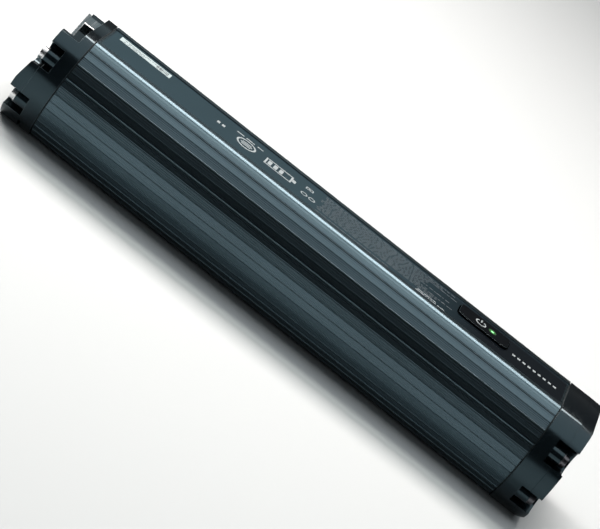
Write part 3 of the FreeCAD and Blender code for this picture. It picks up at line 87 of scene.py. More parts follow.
# ---- materials --------------------------------------------------------------------------------------------
class Shader:
    """A Principled material whose maps are noise nodes in the object's own metres."""

    def __init__(self, name, color, roughness, metallic=0.0):
        self.material = bpy.data.materials.new(name)
        self.material.use_nodes = True
        self.nodes = self.material.node_tree.nodes
        self.links = self.material.node_tree.links
        self.shader = self.nodes["Principled BSDF"]
        self.color = color
        self.roughness = roughness
        self.shader.inputs["Base Color"].default_value = (*color, 1)
        self.shader.inputs["Roughness"].default_value = roughness
        self.shader.inputs["Metallic"].default_value = metallic
        self.coordinates = self.nodes.new("ShaderNodeTexCoord").outputs["Object"]
        self.height = None

    def set(self, socket, value):
        self.shader.inputs[socket].default_value = value
        return self

    def noise(self, scale, detail=4.0, stretch=(1, 1, 1), roughness=0.55):
        mapping = self.nodes.new("ShaderNodeMapping")
        mapping.inputs["Scale"].default_value = stretch
        texture = self.nodes.new("ShaderNodeTexNoise")
        texture.inputs["Scale"].default_value = scale
        texture.inputs["Detail"].default_value = detail
        texture.inputs["Roughness"].default_value = roughness
        self.links.new(self.coordinates, mapping.inputs["Vector"])
        self.links.new(mapping.outputs["Vector"], texture.inputs["Vector"])
        return texture.outputs["Fac"]

    def spread(self, value, low, high, start=0.3, end=0.7):
        """Map a noise value onto a range."""
        remap = self.nodes.new("ShaderNodeMapRange")
        remap.inputs["From Min"].default_value = start
        remap.inputs["From Max"].default_value = end
        remap.inputs["To Min"].default_value = low
        remap.inputs["To Max"].default_value = high
        self.links.new(value, remap.inputs["Value"])
        return remap.outputs["Result"]

    def vary_color(self, value, darker, lighter):
        """Base colour between two multiples of itself, following a noise value."""
        ramp = self.nodes.new("ShaderNodeValToRGB")
        ramp.color_ramp.elements[0].position = 0.3
        ramp.color_ramp.elements[1].position = 0.7
        ramp.color_ramp.elements[0].color = (*[c * darker for c in self.color], 1)
        ramp.color_ramp.elements[1].color = (*[c * lighter for c in self.color], 1)
        self.links.new(value, ramp.inputs["Fac"])
        self.paint = ramp.outputs["Color"]
        self.links.new(self.paint, self.shader.inputs["Base Color"])
        return self

    def shade_along_x(self, start, end, color):
        """Painted shade along the pack: the colour fades into a second colour between two X positions."""
        split = self.nodes.new("ShaderNodeSeparateXYZ")
        self.links.new(self.coordinates, split.inputs["Vector"])
        mix = self.nodes.new("ShaderNodeMix")
        mix.data_type = "RGBA"
        mix.inputs[7].default_value = (*color, 1)
        self.links.new(self.spread(split.outputs["X"], 0.0, 1.0, start, end), mix.inputs["Factor"])
        self.links.new(self.paint, mix.inputs[6])
        self.links.new(mix.outputs[2], self.shader.inputs["Base Color"])
        return self

    def wear_and_highlight_edges(self, color, amount):
        """Lighten convex edges, broken up by noise: rubbed wear, and partly a painted edge highlight."""
        pointed = self.nodes.new("ShaderNodeNewGeometry").outputs["Pointiness"]
        edge = self.spread(pointed, 0.0, amount, 0.52, 0.62)
        broken = self.nodes.new("ShaderNodeMath")
        broken.operation = "MULTIPLY"
        self.links.new(edge, broken.inputs[0])
        self.links.new(self.spread(self.noise(900, 5), 0.2, 1.0), broken.inputs[1])
        mix = self.nodes.new("ShaderNodeMix")
        mix.data_type = "RGBA"
        mix.inputs[7].default_value = (*color, 1)
        self.links.new(broken.outputs[0], mix.inputs["Factor"])
        self.links.new(self.paint, mix.inputs[6])
        self.links.new(mix.outputs[2], self.shader.inputs["Base Color"])
        return self

    def vary_roughness(self, value, low, high):
        self.links.new(self.spread(value, low, high), self.shader.inputs["Roughness"])
        return self

    def bump(self, value, distance, strength=1.0):
        """Raise the surface by a noise value; calls add up."""
        node = self.nodes.new("ShaderNodeBump")
        node.inputs["Distance"].default_value = distance
        node.inputs["Strength"].default_value = strength
        self.links.new(value, node.inputs["Height"])
        if self.height is not None:
            self.links.new(self.height, node.inputs["Normal"])
        self.height = node.outputs["Normal"]
        self.links.new(self.height, self.shader.inputs["Normal"])
        return self


COOL = (0.72, 0.93, 1.0, 1)
DEEP = (0.56, 0.86, 1.0, 1)


def plastic(name, color, roughness=0.45, grain=0.02, grain_scale=2600, gloss=0.5, tint=COOL):
    """Moulded plastic: fine spark-erosion grain over a slight flow mottling."""
    shader = Shader(name, color, roughness)
    shader.set("Specular IOR Level", gloss)
    shader.set("Specular Tint", tint)
    shader.vary_color(shader.noise(60, 5), 0.85, 1.18)
    # Lighter convex edges: rubbed wear and a painted edge highlight.
    shader.wear_and_highlight_edges([min(1, c * 2.2 + 0.01) for c in color], 0.35)
    shader.vary_roughness(shader.noise(300, 4), roughness - 0.03, roughness + 0.04)
    shader.bump(shader.noise(grain_scale, 2), grain * MM, 0.8)
    shader.bump(shader.noise(220, 2), grain * 2 * MM, 0.25)
    return shader.material


def metal(name, color, roughness=0.3, brushed=(1, 1, 1), scratch=0.004):
    """Machined or plated metal: brushing, faint stains and lighter edges, partly rubbed wear and partly a
    painted highlight.
    """
    shader = Shader(name, color, roughness, 1.0)
    shader.vary_color(shader.noise(140, 5), 0.86, 1.1)
    shader.wear_and_highlight_edges([min(1, c * 1.6 + 0.02) for c in color], 0.4)
    shader.vary_roughness(shader.noise(500, 4, brushed), roughness - 0.06, roughness + 0.08)
    shader.bump(shader.noise(1800, 3, brushed), scratch * MM, 0.8)
    return shader.material


def anodised():
    """Black anodised extrusion: die lines along X, a blue-black oxide, soft handling marks and lighter edges
    and beads, partly rubbed wear and partly a painted highlight.
    """
    shader = Shader("anodised_extrusion", (0.056, 0.088, 0.106), 0.27, 1.0)
    die_lines = shader.noise(1400, 3, (0.0003, 1, 1))
    shader.vary_color(shader.noise(45, 4, (0.3, 1, 1)), 0.92, 1.08)
    shader.wear_and_highlight_edges((0.3, 0.31, 0.32), 0.12)
    shader.vary_roughness(die_lines, 0.24, 0.33)
    shader.bump(die_lines, 0.003 * MM, 0.5)
    shader.bump(shader.noise(3200, 2), 0.002 * MM, 0.5)
    return shader.material


def printed_film():
    """Polyester label film: an orange-peel surface over a dark grey ground."""
    shader = Shader("printed_label_film", (0.016, 0.034, 0.044), 0.22)
    shader.set("Specular Tint", COOL)
    shader.set("Specular IOR Level", 0.3)
    shader.vary_color(shader.noise(30, 3), 0.93, 1.07)
    # Painted shade: the film darkens towards the connector end, from 54 mm to 106 mm along X.
    shader.shade_along_x(54 * MM, 106 * MM, (0.004, 0.006, 0.0085))
    shader.vary_roughness(shader.noise(260, 4), 0.15, 0.2)
    shader.bump(shader.noise(900, 3), 0.002 * MM, 0.5)
    return shader.material


def ink(name, color, roughness=0.5):
    """Printed ink: slightly uneven cover and a dry surface."""
    shader = Shader(name, color, roughness)
    shader.vary_color(shader.noise(2500, 3), 0.82, 1.05)
    shader.vary_roughness(shader.noise(1500, 3), roughness - 0.06, roughness + 0.08)
    shader.bump(shader.noise(4000, 2), 0.001 * MM, 0.5)
    return shader.material


def rubber(name, color):
    shader = Shader(name, color, 0.62)
    shader.set("Specular Tint", COOL)
    shader.vary_color(shader.noise(400, 4), 0.8, 1.2)
    shader.vary_roughness(shader.noise(900, 4), 0.55, 0.72)
    shader.bump(shader.noise(2400, 3), 0.01 * MM, 0.8)
    return shader.material


def glowing(name, color, strength):
    """A lit light guide, its colour varied a little by noise."""
    shader = Shader(name, color, 0.25)
    shader.vary_color(shader.noise(900, 2), 0.9, 1.1)
    shader.set("Emission Color", (*color, 1))
    shader.set("Emission Strength", strength)
    shader.set("Coat Weight", 0.4)
    shader.vary_roughness(shader.noise(1500, 2), 0.2, 0.32)
    shader.bump(shader.noise(1200, 2), 0.002 * MM, 0.5)
    return shader.material


def painted_floor():
    shader = Shader("pale_floor", (0.52, 0.563, 0.582), 0.7)
    shader.vary_color(shader.noise(3, 2), 0.995, 1.0)
    shader.set("Specular IOR Level", 0.1)
    return shader.material


MATERIALS = {
    "anodised_sleeve": anodised(),
    "cap_plastic": plastic("cap_nylon", (0.0022, 0.0036, 0.0048), 0.15, 0.003, gloss=0.6, tint=DEEP),
    "cover_plastic": plastic("cover_nylon", (0.0024, 0.004, 0.0054), 0.15, 0.003, gloss=0.6, tint=DEEP),
    "plated_steel": metal("zinc_plate", (0.36, 0.41, 0.43), 0.26, (1, 0.05, 1), 0.002),
    "bright_steel": metal("stainless", (0.68, 0.69, 0.7), 0.26),
    "black_steel": metal("black_zinc", (0.1, 0.1, 0.11), 0.32),
    "seal_rubber": rubber("silicone_seal", (0.002, 0.003, 0.0038)),
    "terminal_plastic": plastic("terminal_moulding", (0.03, 0.03, 0.034), 0.4),
    "plated_brass": metal("gold_plate", (0.83, 0.66, 0.34), 0.22),
    "label_film": printed_film(),
    "sticker_paper": ink("sticker_paper", (0.45, 0.57, 0.59), 0.45),
    "button_plastic": plastic("button_moulding", (0.0018, 0.0024, 0.0034), 0.18, 0.002, 3600, gloss=0.2),
    "status_light": glowing("green_light_guide", (0.3, 1.0, 0.36), 1.0),
    "circuit_board": plastic("solder_mask", (0.02, 0.16, 0.07), 0.3, 0.01),
    "insulation_film": plastic("amber_film", (0.6, 0.3, 0.05), 0.3, 0.01),
    "insulation_paper": rubber("fish_paper", (0.4, 0.45, 0.36)),
    "nickel": metal("nickel_strip", (0.6, 0.58, 0.52), 0.3, (1, 0.1, 1)),
    "holder_plastic": plastic("holder_moulding", (0.08, 0.08, 0.09), 0.5),
    "foam": rubber("closed_cell_foam", (0.1, 0.1, 0.11)),
    "chip_plastic": plastic("epoxy_package", (0.02, 0.02, 0.02), 0.35, 0.01),
    "red_wire": rubber("red_silicone", (0.5, 0.03, 0.02)),
    "black_wire": rubber("black_silicone", (0.02, 0.02, 0.02)),
    "bare_aluminium": metal("bare_aluminium", (0.7, 0.71, 0.72), 0.35, (0.05, 1, 1)),
    "connector_plastic": plastic("natural_nylon", (0.75, 0.72, 0.64), 0.45),
    "cell_can": plastic("cell_sleeve", (0.05, 0.22, 0.36), 0.3, 0.006),
}
# A lighter, glossier nylon for the rounded edges of the caps and button: a painted edge highlight over a
# real gloss.
CAP_EDGE_HIGHLIGHT = plastic("highlight_painted_nylon_edge", (0.034, 0.05, 0.056), 0.28, 0.003, gloss=1.0)
# A lighter zinc for the strike plate's rounded edges: a painted edge highlight.
PLATE_EDGE_HIGHLIGHT = metal("highlight_painted_zinc_edge", (0.62, 0.66, 0.68), 0.3, (1, 1, 1), 0.002)
WHITE_INK = ink("white_ink", (0.34, 0.4, 0.42))
GREY_INK = ink("grey_ink", (0.075, 0.1, 0.115))
DARK_INK = ink("dark_ink", (0.04, 0.05, 0.06))

slot_of = {entry["node"]: entry["material_slot"] for entry in frame["record"]["subparts"]}
for node_name, node_object in frame["nodes"].items():
    node_object.data.materials.clear()
    node_object.data.materials.append(MATERIALS[slot_of[node_name]])


# ---- mesh tools -------------------------------------------------------------------------------------------
def add_piece(name, mesh, material, body):
    """Put a finished mesh in the scene as a piece that rides on a body."""
    piece = bpy.data.objects.new(name, mesh)
    bpy.context.scene.collection.objects.link(piece)
    mesh.materials.clear()
    mesh.materials.append(material)
    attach(piece, body)
    return piece


def mesh_of(name, bm, smooth_angle=None):
    """Finish a bmesh as mesh data; faces shade smooth up to an angle in degrees."""
    bmesh.ops.recalc_face_normals(bm, faces=bm.faces)
    if smooth_angle is not None:
        limit = math.radians(smooth_angle)
        for face in bm.faces:
            face.smooth = True
        for edge in bm.edges:
            edge.smooth = len(edge.link_faces) == 2 and edge.calc_face_angle(0) < limit
    mesh = bpy.data.meshes.new(name)
    bm.to_mesh(mesh)
    bm.free()
    return mesh


def baked(piece):
    """Replace a piece's mesh by its modified mesh."""
    bpy.context.view_layer.update()
    depsgraph = bpy.context.evaluated_depsgraph_get()
    mesh = bpy.data.meshes.new_from_object(piece.evaluated_get(depsgraph))
    piece.modifiers.clear()
    piece.data = mesh
    return piece


CROSSING_COSINE = 0.85  # an edge that turns off by more than this crosses the rounded one
SHARE_OF_CROSSING = 0.42  # how much of a crossing edge the rounding may use up
MERGE_DISTANCE = 0.002 * MM
FLAT_WITHIN = math.radians(1.0)
SMOOTH_WITHIN = 35  # degrees


def free_width(edge):
    """How far an edge can be rounded before it meets the edges that cross its ends."""
    along = (edge.verts[1].co - edge.verts[0].co).normalized()
    room = 1.0
    for vert in edge.verts:
        for other in vert.link_edges:
            if other is not edge:
                across = (other.verts[1].co - other.verts[0].co).normalized()
                if abs(across.dot(along)) < CROSSING_COSINE:
                    room = min(room, other.calc_length())
    return room * SHARE_OF_CROSSING


def softened(node, width, segments=3, angle=32, edge_highlight=None):
    """A CAD node's shape with its outer edges rounded, standing for that node.

    Edges that turn by more than the angle, in degrees, are rounded, and may take a lighter material of their
    own, a painted edge highlight.
    """
    source = frame["nodes"][node]
    bm = bmesh.new()
    bm.from_mesh(source.data)
    bmesh.ops.remove_doubles(bm, verts=bm.verts, dist=MERGE_DISTANCE)
    bmesh.ops.dissolve_limit(
        bm, angle_limit=FLAT_WITHIN, verts=bm.verts, edges=bm.edges, use_dissolve_boundaries=False
    )
    weight = bm.edges.layers.float.new("bevel_weight_edge")
    for edge in bm.edges:
        outer = len(edge.link_faces) == 2 and edge.is_convex
        if outer and edge.calc_face_angle(0) > math.radians(angle):
            edge[weight] = min(1.0, free_width(edge) / width)
    mesh = mesh_of(f"{node}_soft", bm, SMOOTH_WITHIN)
    slot = slot_of[node]
    piece = add_piece(f"{node}_piece", mesh, MATERIALS[slot], source["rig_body"])
    bevel = piece.modifiers.new("rounded", "BEVEL")
    # The rounded faces take the lighter material, a painted edge highlight.
    if edge_highlight:
        mesh.materials.append(edge_highlight)
        bevel.material = 1
    bevel.width = width
    bevel.segments = segments
    bevel.limit_method = "WEIGHT"
    bevel.miter_outer = "MITER_ARC"
    bevel.harden_normals = True
    baked(piece)
    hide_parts(node)
    return piece


# ---- the sleeve -------------------------------------------------------------------------------------------
# What each lengthwise line is, from the label edge down: a raised bead, a V groove or a plain step.
LINES = ["bead", "groove", "bead", "step", "bead", "bead", "groove",
         "faint", "groove", "step", "bead", "bead", "groove", "bead"]
# Each shape as (along the arc, outwards) in millimetres.
LINE_SHAPES = {
    "bead": [(-0.55, 0.0), (-0.4, -0.2), (-0.22, -0.02), (-0.1, 0.04),
             (0.1, 0.04), (0.22, -0.02), (0.4, -0.2), (0.55, 0.0)],
    "groove": [(-0.42, 0.0), (-0.12, -0.42), (0.12, -0.42), (0.42, 0.0)],
    "faint": [(-0.3, 0.0), (-0.08, -0.18), (0.08, -0.18), (0.3, 0.0)],
    "step": [(-0.15, 0.0), (0.0, -0.05), (0.15, 0.0)],
}
HAIRLINES = 5  # to a groove pitch
HAIRLINE_DEPTH = 0.03 * MM
POINTS_PER_HAIRLINE = 4
PLAIN_STEPS = 48
LAND_STEPS = 10
CORNER_STEPS = 8
SLEEVE_SMOOTH_WITHIN = 24  # degrees
SLEEVE_END_CHAMFER = 0.25 * MM

# The button's window: the key's corners and hidden flange, the gap round it and the bezel's rim.
KEY_CORNER = 3.5 * MM
FLANGE_SIDE = 1.3 * MM
MOAT = 0.75 * MM
BEZEL_RIM = 1.4 * MM


def on_side(angle, outwards):
    """A point of the +Y side, at an angle above mid-height and a distance outside the arc."""
    reach = SIDE_RADIUS + outwards
    return Vector((ARC_Y + reach * math.cos(angle), reach * math.sin(angle)))


def ribbed_side(ribs=True):
    """The +Y side's outline from the underside's edge up to the label's edge."""
    if not ribs:
        return [on_side(FLAT_ANGLE * (2 * step / PLAIN_STEPS - 1), 0) for step in range(PLAIN_STEPS + 1)]
    first = -GROOVE_PITCH * (len(LINES) - 1) / 2
    lines = []
    for index, kind in enumerate(reversed(LINES)):
        centre = first + index * GROOVE_PITCH
        shape = LINE_SHAPES[kind]
        lines.append([on_side(centre + along * MM / SIDE_RADIUS, out * MM) for along, out in shape])
    points = [on_side(-FLAT_ANGLE, 0)]
    stops = [[points[0]]] + lines + [[on_side(FLAT_ANGLE, 0)]]
    last = len(stops) - 2
    for index, (before, after) in enumerate(zip(stops, stops[1:])):
        points += edge_land(before[-1], after[0]) if index in (0, last) else facet(before[-1], after[0])
        points += after
    return points


def edge_land(start, end):
    """The plain curved land between the last line and the corner."""
    angles = [math.atan2(point.y, point.x - ARC_Y) for point in (start, end)]
    turn = angles[1] - angles[0]
    return [on_side(angles[0] + turn * step / LAND_STEPS, 0) for step in range(1, LAND_STEPS)]


def facet(start, end):
    """A flat facet between two lines, scored with hairlines."""
    run = end - start
    count = max(1, round(HAIRLINES * run.length / (SIDE_RADIUS * GROOVE_PITCH)))
    normal = Vector((run.y, -run.x)).normalized()
    points = []
    for step in range(1, count * POINTS_PER_HAIRLINE):
        share = step / (count * POINTS_PER_HAIRLINE)
        lobe = abs(math.sin(share * count * math.pi))
        points.append(start + run * share + normal * HAIRLINE_DEPTH * (lobe - 1))
    return points


def rounded_ends(points, radius):
    """Round the outline's two ends where it meets the flat top and underside."""
    result = list(points)
    turn = math.pi / 2 - FLAT_ANGLE
    trim = radius * math.tan(turn / 2)
    for top in (True, False):
        sign = 1 if top else -1
        corner = Vector((FLAT_Y, sign * HALF_HEIGHT))
        result = [p for p in result if (p - corner).length > trim]
        tangent = Vector((math.sin(FLAT_ANGLE), -sign * math.cos(FLAT_ANGLE)))
        side_point = corner + tangent * trim
        centre = side_point - Vector((math.cos(FLAT_ANGLE), sign * math.sin(FLAT_ANGLE))) * radius
        arc = []
        for step in range(CORNER_STEPS + 1):
            angle = FLAT_ANGLE + turn * step / CORNER_STEPS
            arc.append(centre + Vector((math.cos(angle), sign * math.sin(angle))) * radius)
        result = result + arc if top else list(reversed(arc)) + result
    return result


def with_rim(point):
    """Raise the shoulders beside the label into low rims, and draw the top of the side up to meet them."""
    across = min(1.0, (point.x - RIM_FROM) / RIM_WALL)
    up = (point.y - HALF_HEIGHT + RIM_BLEND) / RIM_BLEND
    return Vector((point.x, point.y + RIM_RISE * across * up)) if across > 0 and up > 0 else point


def section(ribs=True, grow=0.0):
    """The whole outline as (y, z) points from mid-height, anticlockwise."""
    right = rounded_ends(ribbed_side(ribs), CORNER_RADIUS)
    right += [Vector((RIM_FROM + reach, HALF_HEIGHT)) for reach in (RIM_WALL, 0)]
    right = [with_rim(point) for point in right]
    left = [Vector((-p.x, p.y)) for p in reversed(right)]
    outline = right + left
    if grow:
        outline = [p + p.normalized() * grow for p in outline]
    return outline


def key_outline(grow, steps=8):
    """The button's outline grown outwards, about its centre, anticlockwise."""
    reach_x = (button_high.x - button_low.x) / 2 - FLANGE_SIDE - KEY_CORNER
    reach_y = (button_high.y - button_low.y) / 2 - FLANGE_SIDE - KEY_CORNER
    radius = KEY_CORNER + grow
    points = []
    for quarter, (right, back) in enumerate(((1, 1), (-1, 1), (-1, -1), (1, -1))):
        for step in range(steps + 1):
            angle = math.pi / 2 * (quarter + step / steps)
            centre = Vector((right * reach_x, back * reach_y))
            points.append(centre + Vector((math.cos(angle), math.sin(angle))) * radius)
    return points


def ring_faces(bm, first, second):
    """Join two closed loops of the same length with quads."""
    count = len(first)
    for index in range(count):
        following = (index + 1) % count
        bm.faces.new((first[index], first[following], second[following], second[index]))


def build_sleeve():
    """The extrusion with its ribbed sides, chamfered ends and the window for the button."""
    outer = section()
    inner = [p * (1 - WALL / p.length) for p in outer]
    bm = bmesh.new()
    start, end = sleeve_low.x, sleeve_high.x
    stations = [start, start + SLEEVE_END_CHAMFER, end - SLEEVE_END_CHAMFER, end]
    rings = []
    for index, x in enumerate(stations):
        inset = SLEEVE_END_CHAMFER if index in (0, 3) else 0.0
        points = [p - p.normalized() * inset + Vector((0, MIDDLE_Z)) for p in outer]
        rings.append([bm.verts.new((x, *p)) for p in points])
    back = [bm.verts.new((stations[3], p.x, p.y + MIDDLE_Z)) for p in inner]
    front = [bm.verts.new((stations[0], p.x, p.y + MIDDLE_Z)) for p in inner]
    loops = rings + [back, front]
    for first, second in zip(loops, loops[1:] + loops[:1]):
        ring_faces(bm, first, second)
    mesh = mesh_of("sleeve_extrusion", bm, SLEEVE_SMOOTH_WITHIN)
    sleeve = add_piece("sleeve_extrusion", mesh, MATERIALS["anodised_sleeve"], "pack")
    cutter = window_cutter()
    window = sleeve.modifiers.new("window", "BOOLEAN")
    window.operation = "DIFFERENCE"
    window.solver = "EXACT"
    window.object = cutter
    baked(sleeve)
    bpy.data.objects.remove(cutter)
    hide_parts("housing_sleeve")
    return sleeve


def window_cutter():
    """The prism that opens the sleeve's top for the button and its bezel."""
    centre = (button_low + button_high) / 2
    bm = bmesh.new()
    outline = key_outline(MOAT + BEZEL_RIM)
    rings = []
    for z in (sleeve_high.z - 2 * WALL, sleeve_high.z + WALL):
        rings.append([bm.verts.new((centre.x + p.x, centre.y + p.y, z)) for p in outline])
    ring_faces(bm, rings[0], rings[1])
    bm.faces.new(rings[0])
    bm.faces.new(rings[1])
    cutter = bpy.data.objects.new("window_cutter", mesh_of("window_cutter", bm))
    bpy.context.scene.collection.objects.link(cutter)
    return cutter


build_sleeve()

softened("lock_cap_body", 0.7 * MM, edge_highlight=CAP_EDGE_HIGHLIGHT)
softened("connector_cap_body", 0.18 * MM, 2)
softened("connector_cap_cover", 1.6 * MM, 5)
softened("lock_cap_cover", 1.2 * MM, 5, edge_highlight=CAP_EDGE_HIGHLIGHT)
softened("strike_plate", 0.5 * MM, edge_highlight=PLATE_EDGE_HIGHLIGHT)
softened("power_button", 0.5 * MM, 4, edge_highlight=CAP_EDGE_HIGHLIGHT)
softened("button_bezel", 0.2 * MM, 2)
for fixed in ("lock_end_screws", "connector_end_screws", "cover_screws"):
    softened(fixed, 0.3 * MM)
for fixed in ("lock_end_washers", "connector_end_washers", "terminal_block", "power_terminals"):
    softened(fixed, 0.12 * MM, 2)

# ---- printing ---------------------------------------------------------------------------------------------
INK_DEPTH = 0.03 * MM
INK_SINK = INK_DEPTH / 3  # the ink starts this far under the surface, so the two don't share a plane


def printed(name, shapes, level, material, body="pack"):
    """Thin raised ink on a level surface, as a piece that rides on a body.

    Each shape is an outline of (x, y) points, or a pair of outlines for a ring.
    """
    bm = bmesh.new()
    for shape in shapes:
        outer, inner = shape if isinstance(shape, tuple) else (shape, None)
        rings = []
        for outline in (outer, inner):
            if outline:
                for z in (level - INK_SINK, level + INK_DEPTH):
                    rings.append([bm.verts.new((x, y, z)) for x, y in outline])
        if inner:
            for first, second in ((0, 1), (1, 3), (3, 2), (2, 0)):
                ring_faces(bm, rings[first], rings[second])
        else:
            ring_faces(bm, rings[0], rings[1])
            bm.faces.new(rings[0])
            bm.faces.new(rings[1])
    return add_piece(name, mesh_of(name, bm), material, body)


# The marks below are placed and sized in millimetres.
def bar(x, y, length, width):
    """A rectangle's outline about its centre."""
    corners = ((-1, -1), (1, -1), (1, 1), (-1, 1))
    return [((x + i * length / 2) * MM, (y + j * width / 2) * MM) for i, j in corners]


def disc(x, y, radius, start=0, turn=360, steps=40):
    """Points round an arc."""
    angles = [math.radians(start + turn * step / steps) for step in range(steps + (turn < 360))]
    return [((x + radius * math.cos(a)) * MM, (y + radius * math.sin(a)) * MM) for a in angles]


def frame_mark(x, y, length, width, line):
    """A rectangle drawn as a line of even thickness."""
    return (bar(x, y, length, width), bar(x, y, length - 2 * line, width - 2 * line))


def swept(x, y, radius, line, start, turn):
    """An open arc of even thickness."""
    return disc(x, y, radius, start, turn, 28) + disc(x, y, radius - line, start + turn, -turn, 28)


def fine_print(rng, left, right, low, high, pitch, height):
    """Rows of short dashes that look like small print but have no letters."""
    dashes = []
    y = low
    while y <= high:
        x = left + rng.uniform(0, 4)
        end = right - rng.uniform(0, 26)
        while x < end:
            length = rng.uniform(0.8, 4.2)
            dashes.append(bar(x + length / 2, y, length, height))
            x += length + rng.uniform(0.5, 1.1)
        y += pitch
    return dashes


rng = random.Random(7)
ink_level = label_high.z
white_marks = [
    bar(-84, 1.5, 2.0, 3.2),
    bar(-80.6, 1.5, 2.0, 3.2),
    (disc(-64, 0, 6.6), disc(-64, 0, 5.4)),
    bar(-64, 2.0, 6.4, 1.1),
    bar(-64, 0, 8.2, 1.1),
    bar(-64, -2.0, 6.4, 1.1),
    bar(-70.5, 9.0, 5.0, 1.3),
    bar(-63.5, 9.0, 6.0, 1.3),
    bar(-56.5, 9.0, 4.0, 1.3),
    frame_mark(-41, 0, 19, 10.5, 1.1),
    bar(-30.2, 0, 2.4, 4.4),
    bar(-47.2, 0, 2.4, 6.4),
    bar(-43.2, 0, 2.4, 6.4),
    bar(-39.2, 0, 2.4, 6.4),
    frame_mark(-20.5, 6.2, 5.2, 3.6, 0.7),
    bar(-20.5, 6.2, 1.8, 0.9),
    (disc(-21.6, -5.5, 2.3), disc(-21.6, -5.5, 1.6)),
    (disc(-16.2, -5.5, 2.3), disc(-16.2, -5.5, 1.6)),
]
white_marks += fine_print(rng, 58, 84, -15.2, -13.0, 2.2, 1.0)
grey_marks = fine_print(rng, -12, 84, -10.6, 14.5, 2.28, 0.8)
grey_marks += fine_print(rng, -12, 46, -15.2, -13.0, 2.28, 0.8)
printed("label_marks", white_marks, ink_level, WHITE_INK)
printed("label_small_print", grey_marks, ink_level, GREY_INK)
printed("label_name_bar", [bar(126 + 3.6 * step, -1.5, 2.0, 2.4) for step in range(9)], ink_level, WHITE_INK)
sticker_low, sticker_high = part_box("serial_sticker")
sticker_marks = []
tick = sticker_high.x / MM - 9.5
while tick < sticker_high.x / MM - 1.5:
    thick = rng.uniform(0.2, 0.6)
    sticker_marks.append(bar(tick, (sticker_low.y + sticker_high.y) / 2 / MM, thick, 4.6))
    tick += thick + rng.uniform(0.25, 0.6)
sticker_marks += fine_print(rng, sticker_low.x / MM + 2, sticker_high.x / MM - 10, 9.0, 12.2, 1.6, 0.5)
printed("sticker_marks", sticker_marks, sticker_high.z, DARK_INK)

ICON_OFFSET = 2.6  # millimetres from the key's middle, away from the status light
ICON_RADIUS = 3.6
ICON_LINE = 0.9
key_top = button_high.z
icon_x = (button_low.x + button_high.x) / 2 / MM - ICON_OFFSET
icon_y = (button_low.y + button_high.y) / 2 / MM
power_icon = [
    swept(icon_x, icon_y, ICON_RADIUS, ICON_LINE, 120, 300),
    bar(icon_x, icon_y + 3.0, ICON_LINE, ICON_RADIUS),
]
printed("power_icon", power_icon, key_top, WHITE_INK, "button")


GLOW_FROM = 0.9 * MM
GLOW_TO = 3.2 * MM
GLOW_STRENGTH = 0.26
RIM_RADIUS = 2.7  # millimetres, as is the next
LENS_RADIUS = 1.06


def glow_ring():
    """The rim of plastic round the status light, with a painted glow: green emission on the dark plastic,
    fading outwards.
    """
    middle = (lens_low + lens_high) / 2
    shader = Shader("glow_painted_button_rim", (0.006, 0.01, 0.009), 0.42)
    shader.vary_color(shader.noise(900, 3), 0.85, 1.15)
    shader.bump(shader.noise(3600, 2), 0.01 * MM, 0.5)
    centre = shader.nodes.new("ShaderNodeVectorMath")
    centre.operation = "DISTANCE"
    centre.inputs[1].default_value = (middle.x, middle.y, key_top)
    shader.links.new(shader.coordinates, centre.inputs[0])
    # Painted glow: the emission strength falls off with distance from the light's middle.
    fade = shader.nodes.new("ShaderNodeMapRange")
    fade.inputs["From Min"].default_value = GLOW_FROM
    fade.inputs["From Max"].default_value = GLOW_TO
    fade.inputs["To Min"].default_value = GLOW_STRENGTH
    fade.inputs["To Max"].default_value = 0.0
    fade.interpolation_type = "SMOOTHERSTEP"
    shader.links.new(centre.outputs["Value"], fade.inputs["Value"])
    shader.set("Emission Color", (0.02, 0.8, 0.05, 1))
    shader.links.new(fade.outputs["Result"], shader.shader.inputs["Emission Strength"])
    x, y = middle.x / MM, middle.y / MM
    ring = (disc(x, y, RIM_RADIUS), disc(x, y, LENS_RADIUS))
    return printed("status_light_rim", [ring], key_top, shader.material, "button")


glow_ring()

# ---- stage, lights and camera -----------------------------------------------------------------------------
FLOOR_REACH = 12.0  # metres
floor_mesh = bmesh.new()
bmesh.ops.create_grid(floor_mesh, x_segments=1, y_segments=1, size=FLOOR_REACH)
floor = bpy.data.objects.new("floor", mesh_of("floor", floor_mesh))
floor.data.materials.append(painted_floor())
bpy.context.scene.collection.objects.link(floor)


def softbox(name, elevation, distance, length, width, radiance, x=0.0, tint=(1, 1, 1)):
    """An area light over the pack, at an angle above the camera's side, facing the pack."""
    light = bpy.data.lights.new(name, "AREA")
    light.shape = "RECTANGLE"
    light.size = length
    light.size_y = width
    light.energy = radiance * math.pi * length * width
    light.color = tint
    lamp = bpy.data.objects.new(name, light)
    angle = math.radians(elevation)
    lamp.location = (x, -distance * math.cos(angle), MIDDLE_Z + distance * math.sin(angle))
    toward = Vector((0, 0, MIDDLE_Z)) - Vector(lamp.location)
    toward.x = 0
    back = -toward.normalized()
    side = Vector((1, 0, 0))
    lamp.rotation_euler = Matrix((side, back.cross(side), back)).transposed().to_euler()
    bpy.context.scene.collection.objects.link(lamp)
    return lamp


# Each takes its elevation in degrees, then its distance, length and width in metres, then its radiance.
softbox("edge_strip", 119, 1.3, 2.3, 0.46, 13.4, x=-0.82, tint=(1.0, 0.89, 0.84))
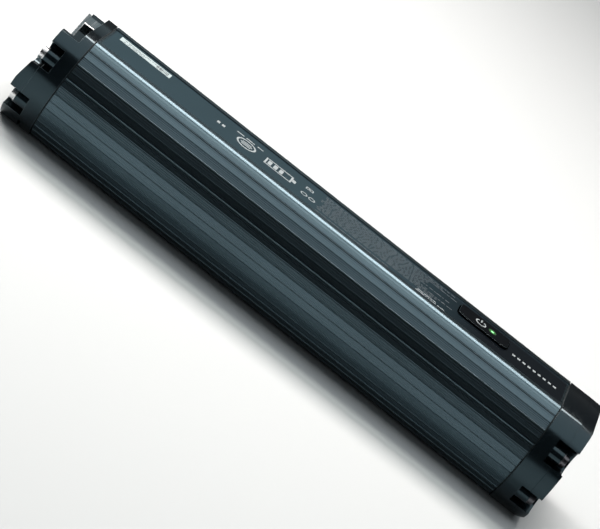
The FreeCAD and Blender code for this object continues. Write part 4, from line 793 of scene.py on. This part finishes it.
# This one widens the highlight on the sleeve's corner; only the sleeve and the floor receive it.
corner_glow = softbox("corner_glow", 100, 1.3, 2.3, 0.24, 6.2, x=-0.82, tint=(1.0, 0.97, 0.86))
lit_by_glow = bpy.data.collections.new("lit_by_corner_glow")
for glowed in (floor, bpy.data.objects["sleeve_extrusion"]):
    lit_by_glow.objects.link(glowed)
corner_glow.light_linking.receiver_collection = lit_by_glow
softbox("overhead_box", 82, 1.5, 3.2, 1.24, 1.3)
softbox("label_card", 160, 1.6, 2.0, 0.68, 0.2, x=-0.9, tint=(0.7, 0.93, 1.0))
# This one lightens the front and doesn't show in reflections.
front_fill = softbox("front_fill", 32, 1.7, 2.6, 1.0, 0.22)
front_fill.visible_glossy = False

SKY_NEAR = 0.045
SKY_FAR = 0.05
world = bpy.data.worlds.new("studio")
world.use_nodes = True
sky = world.node_tree.nodes
direction = sky.new("ShaderNodeTexCoord").outputs["Generated"]
split = sky.new("ShaderNodeSeparateXYZ")
ramp = sky.new("ShaderNodeMapRange")
ramp.inputs["From Min"].default_value = -0.4
ramp.inputs["From Max"].default_value = 0.6
ramp.inputs["To Min"].default_value = SKY_NEAR
ramp.inputs["To Max"].default_value = SKY_FAR
world.node_tree.links.new(direction, split.inputs["Vector"])
world.node_tree.links.new(split.outputs["Y"], ramp.inputs["Value"])
world.node_tree.links.new(ramp.outputs["Result"], sky["Background"].inputs["Strength"])
sky["Background"].inputs["Color"].default_value = (0.9, 0.97, 1.0, 1)
bpy.context.scene.world = world
bpy.context.scene.view_settings.view_transform = "Standard"

CAMERA_ELEVATION = math.radians(20)
CAMERA_ROLL = math.radians(38.1)
CAMERA_DISTANCE = 1.5376
look = Vector((0, math.cos(CAMERA_ELEVATION), -math.sin(CAMERA_ELEVATION)))
above = Vector((0, math.sin(CAMERA_ELEVATION), math.cos(CAMERA_ELEVATION)))
along = Vector((1, 0, 0))
right = along * math.cos(CAMERA_ROLL) + above * math.sin(CAMERA_ROLL)
up = above * math.cos(CAMERA_ROLL) - along * math.sin(CAMERA_ROLL)
aim = Vector((0.9 * MM, 0, MIDDLE_Z)) - above * 3.06 * MM
camera_data = bpy.data.cameras.new("camera")
camera_data.lens = 164.0
camera_data.sensor_width = 36.0
camera_data.clip_end = 50
camera = bpy.data.objects.new("camera", camera_data)
turned = Matrix((right, up, -look)).transposed().to_4x4()
camera.matrix_world = Matrix.Translation(aim - look * CAMERA_DISTANCE) @ turned
bpy.context.scene.collection.objects.link(camera)
bpy.context.scene.camera = camera
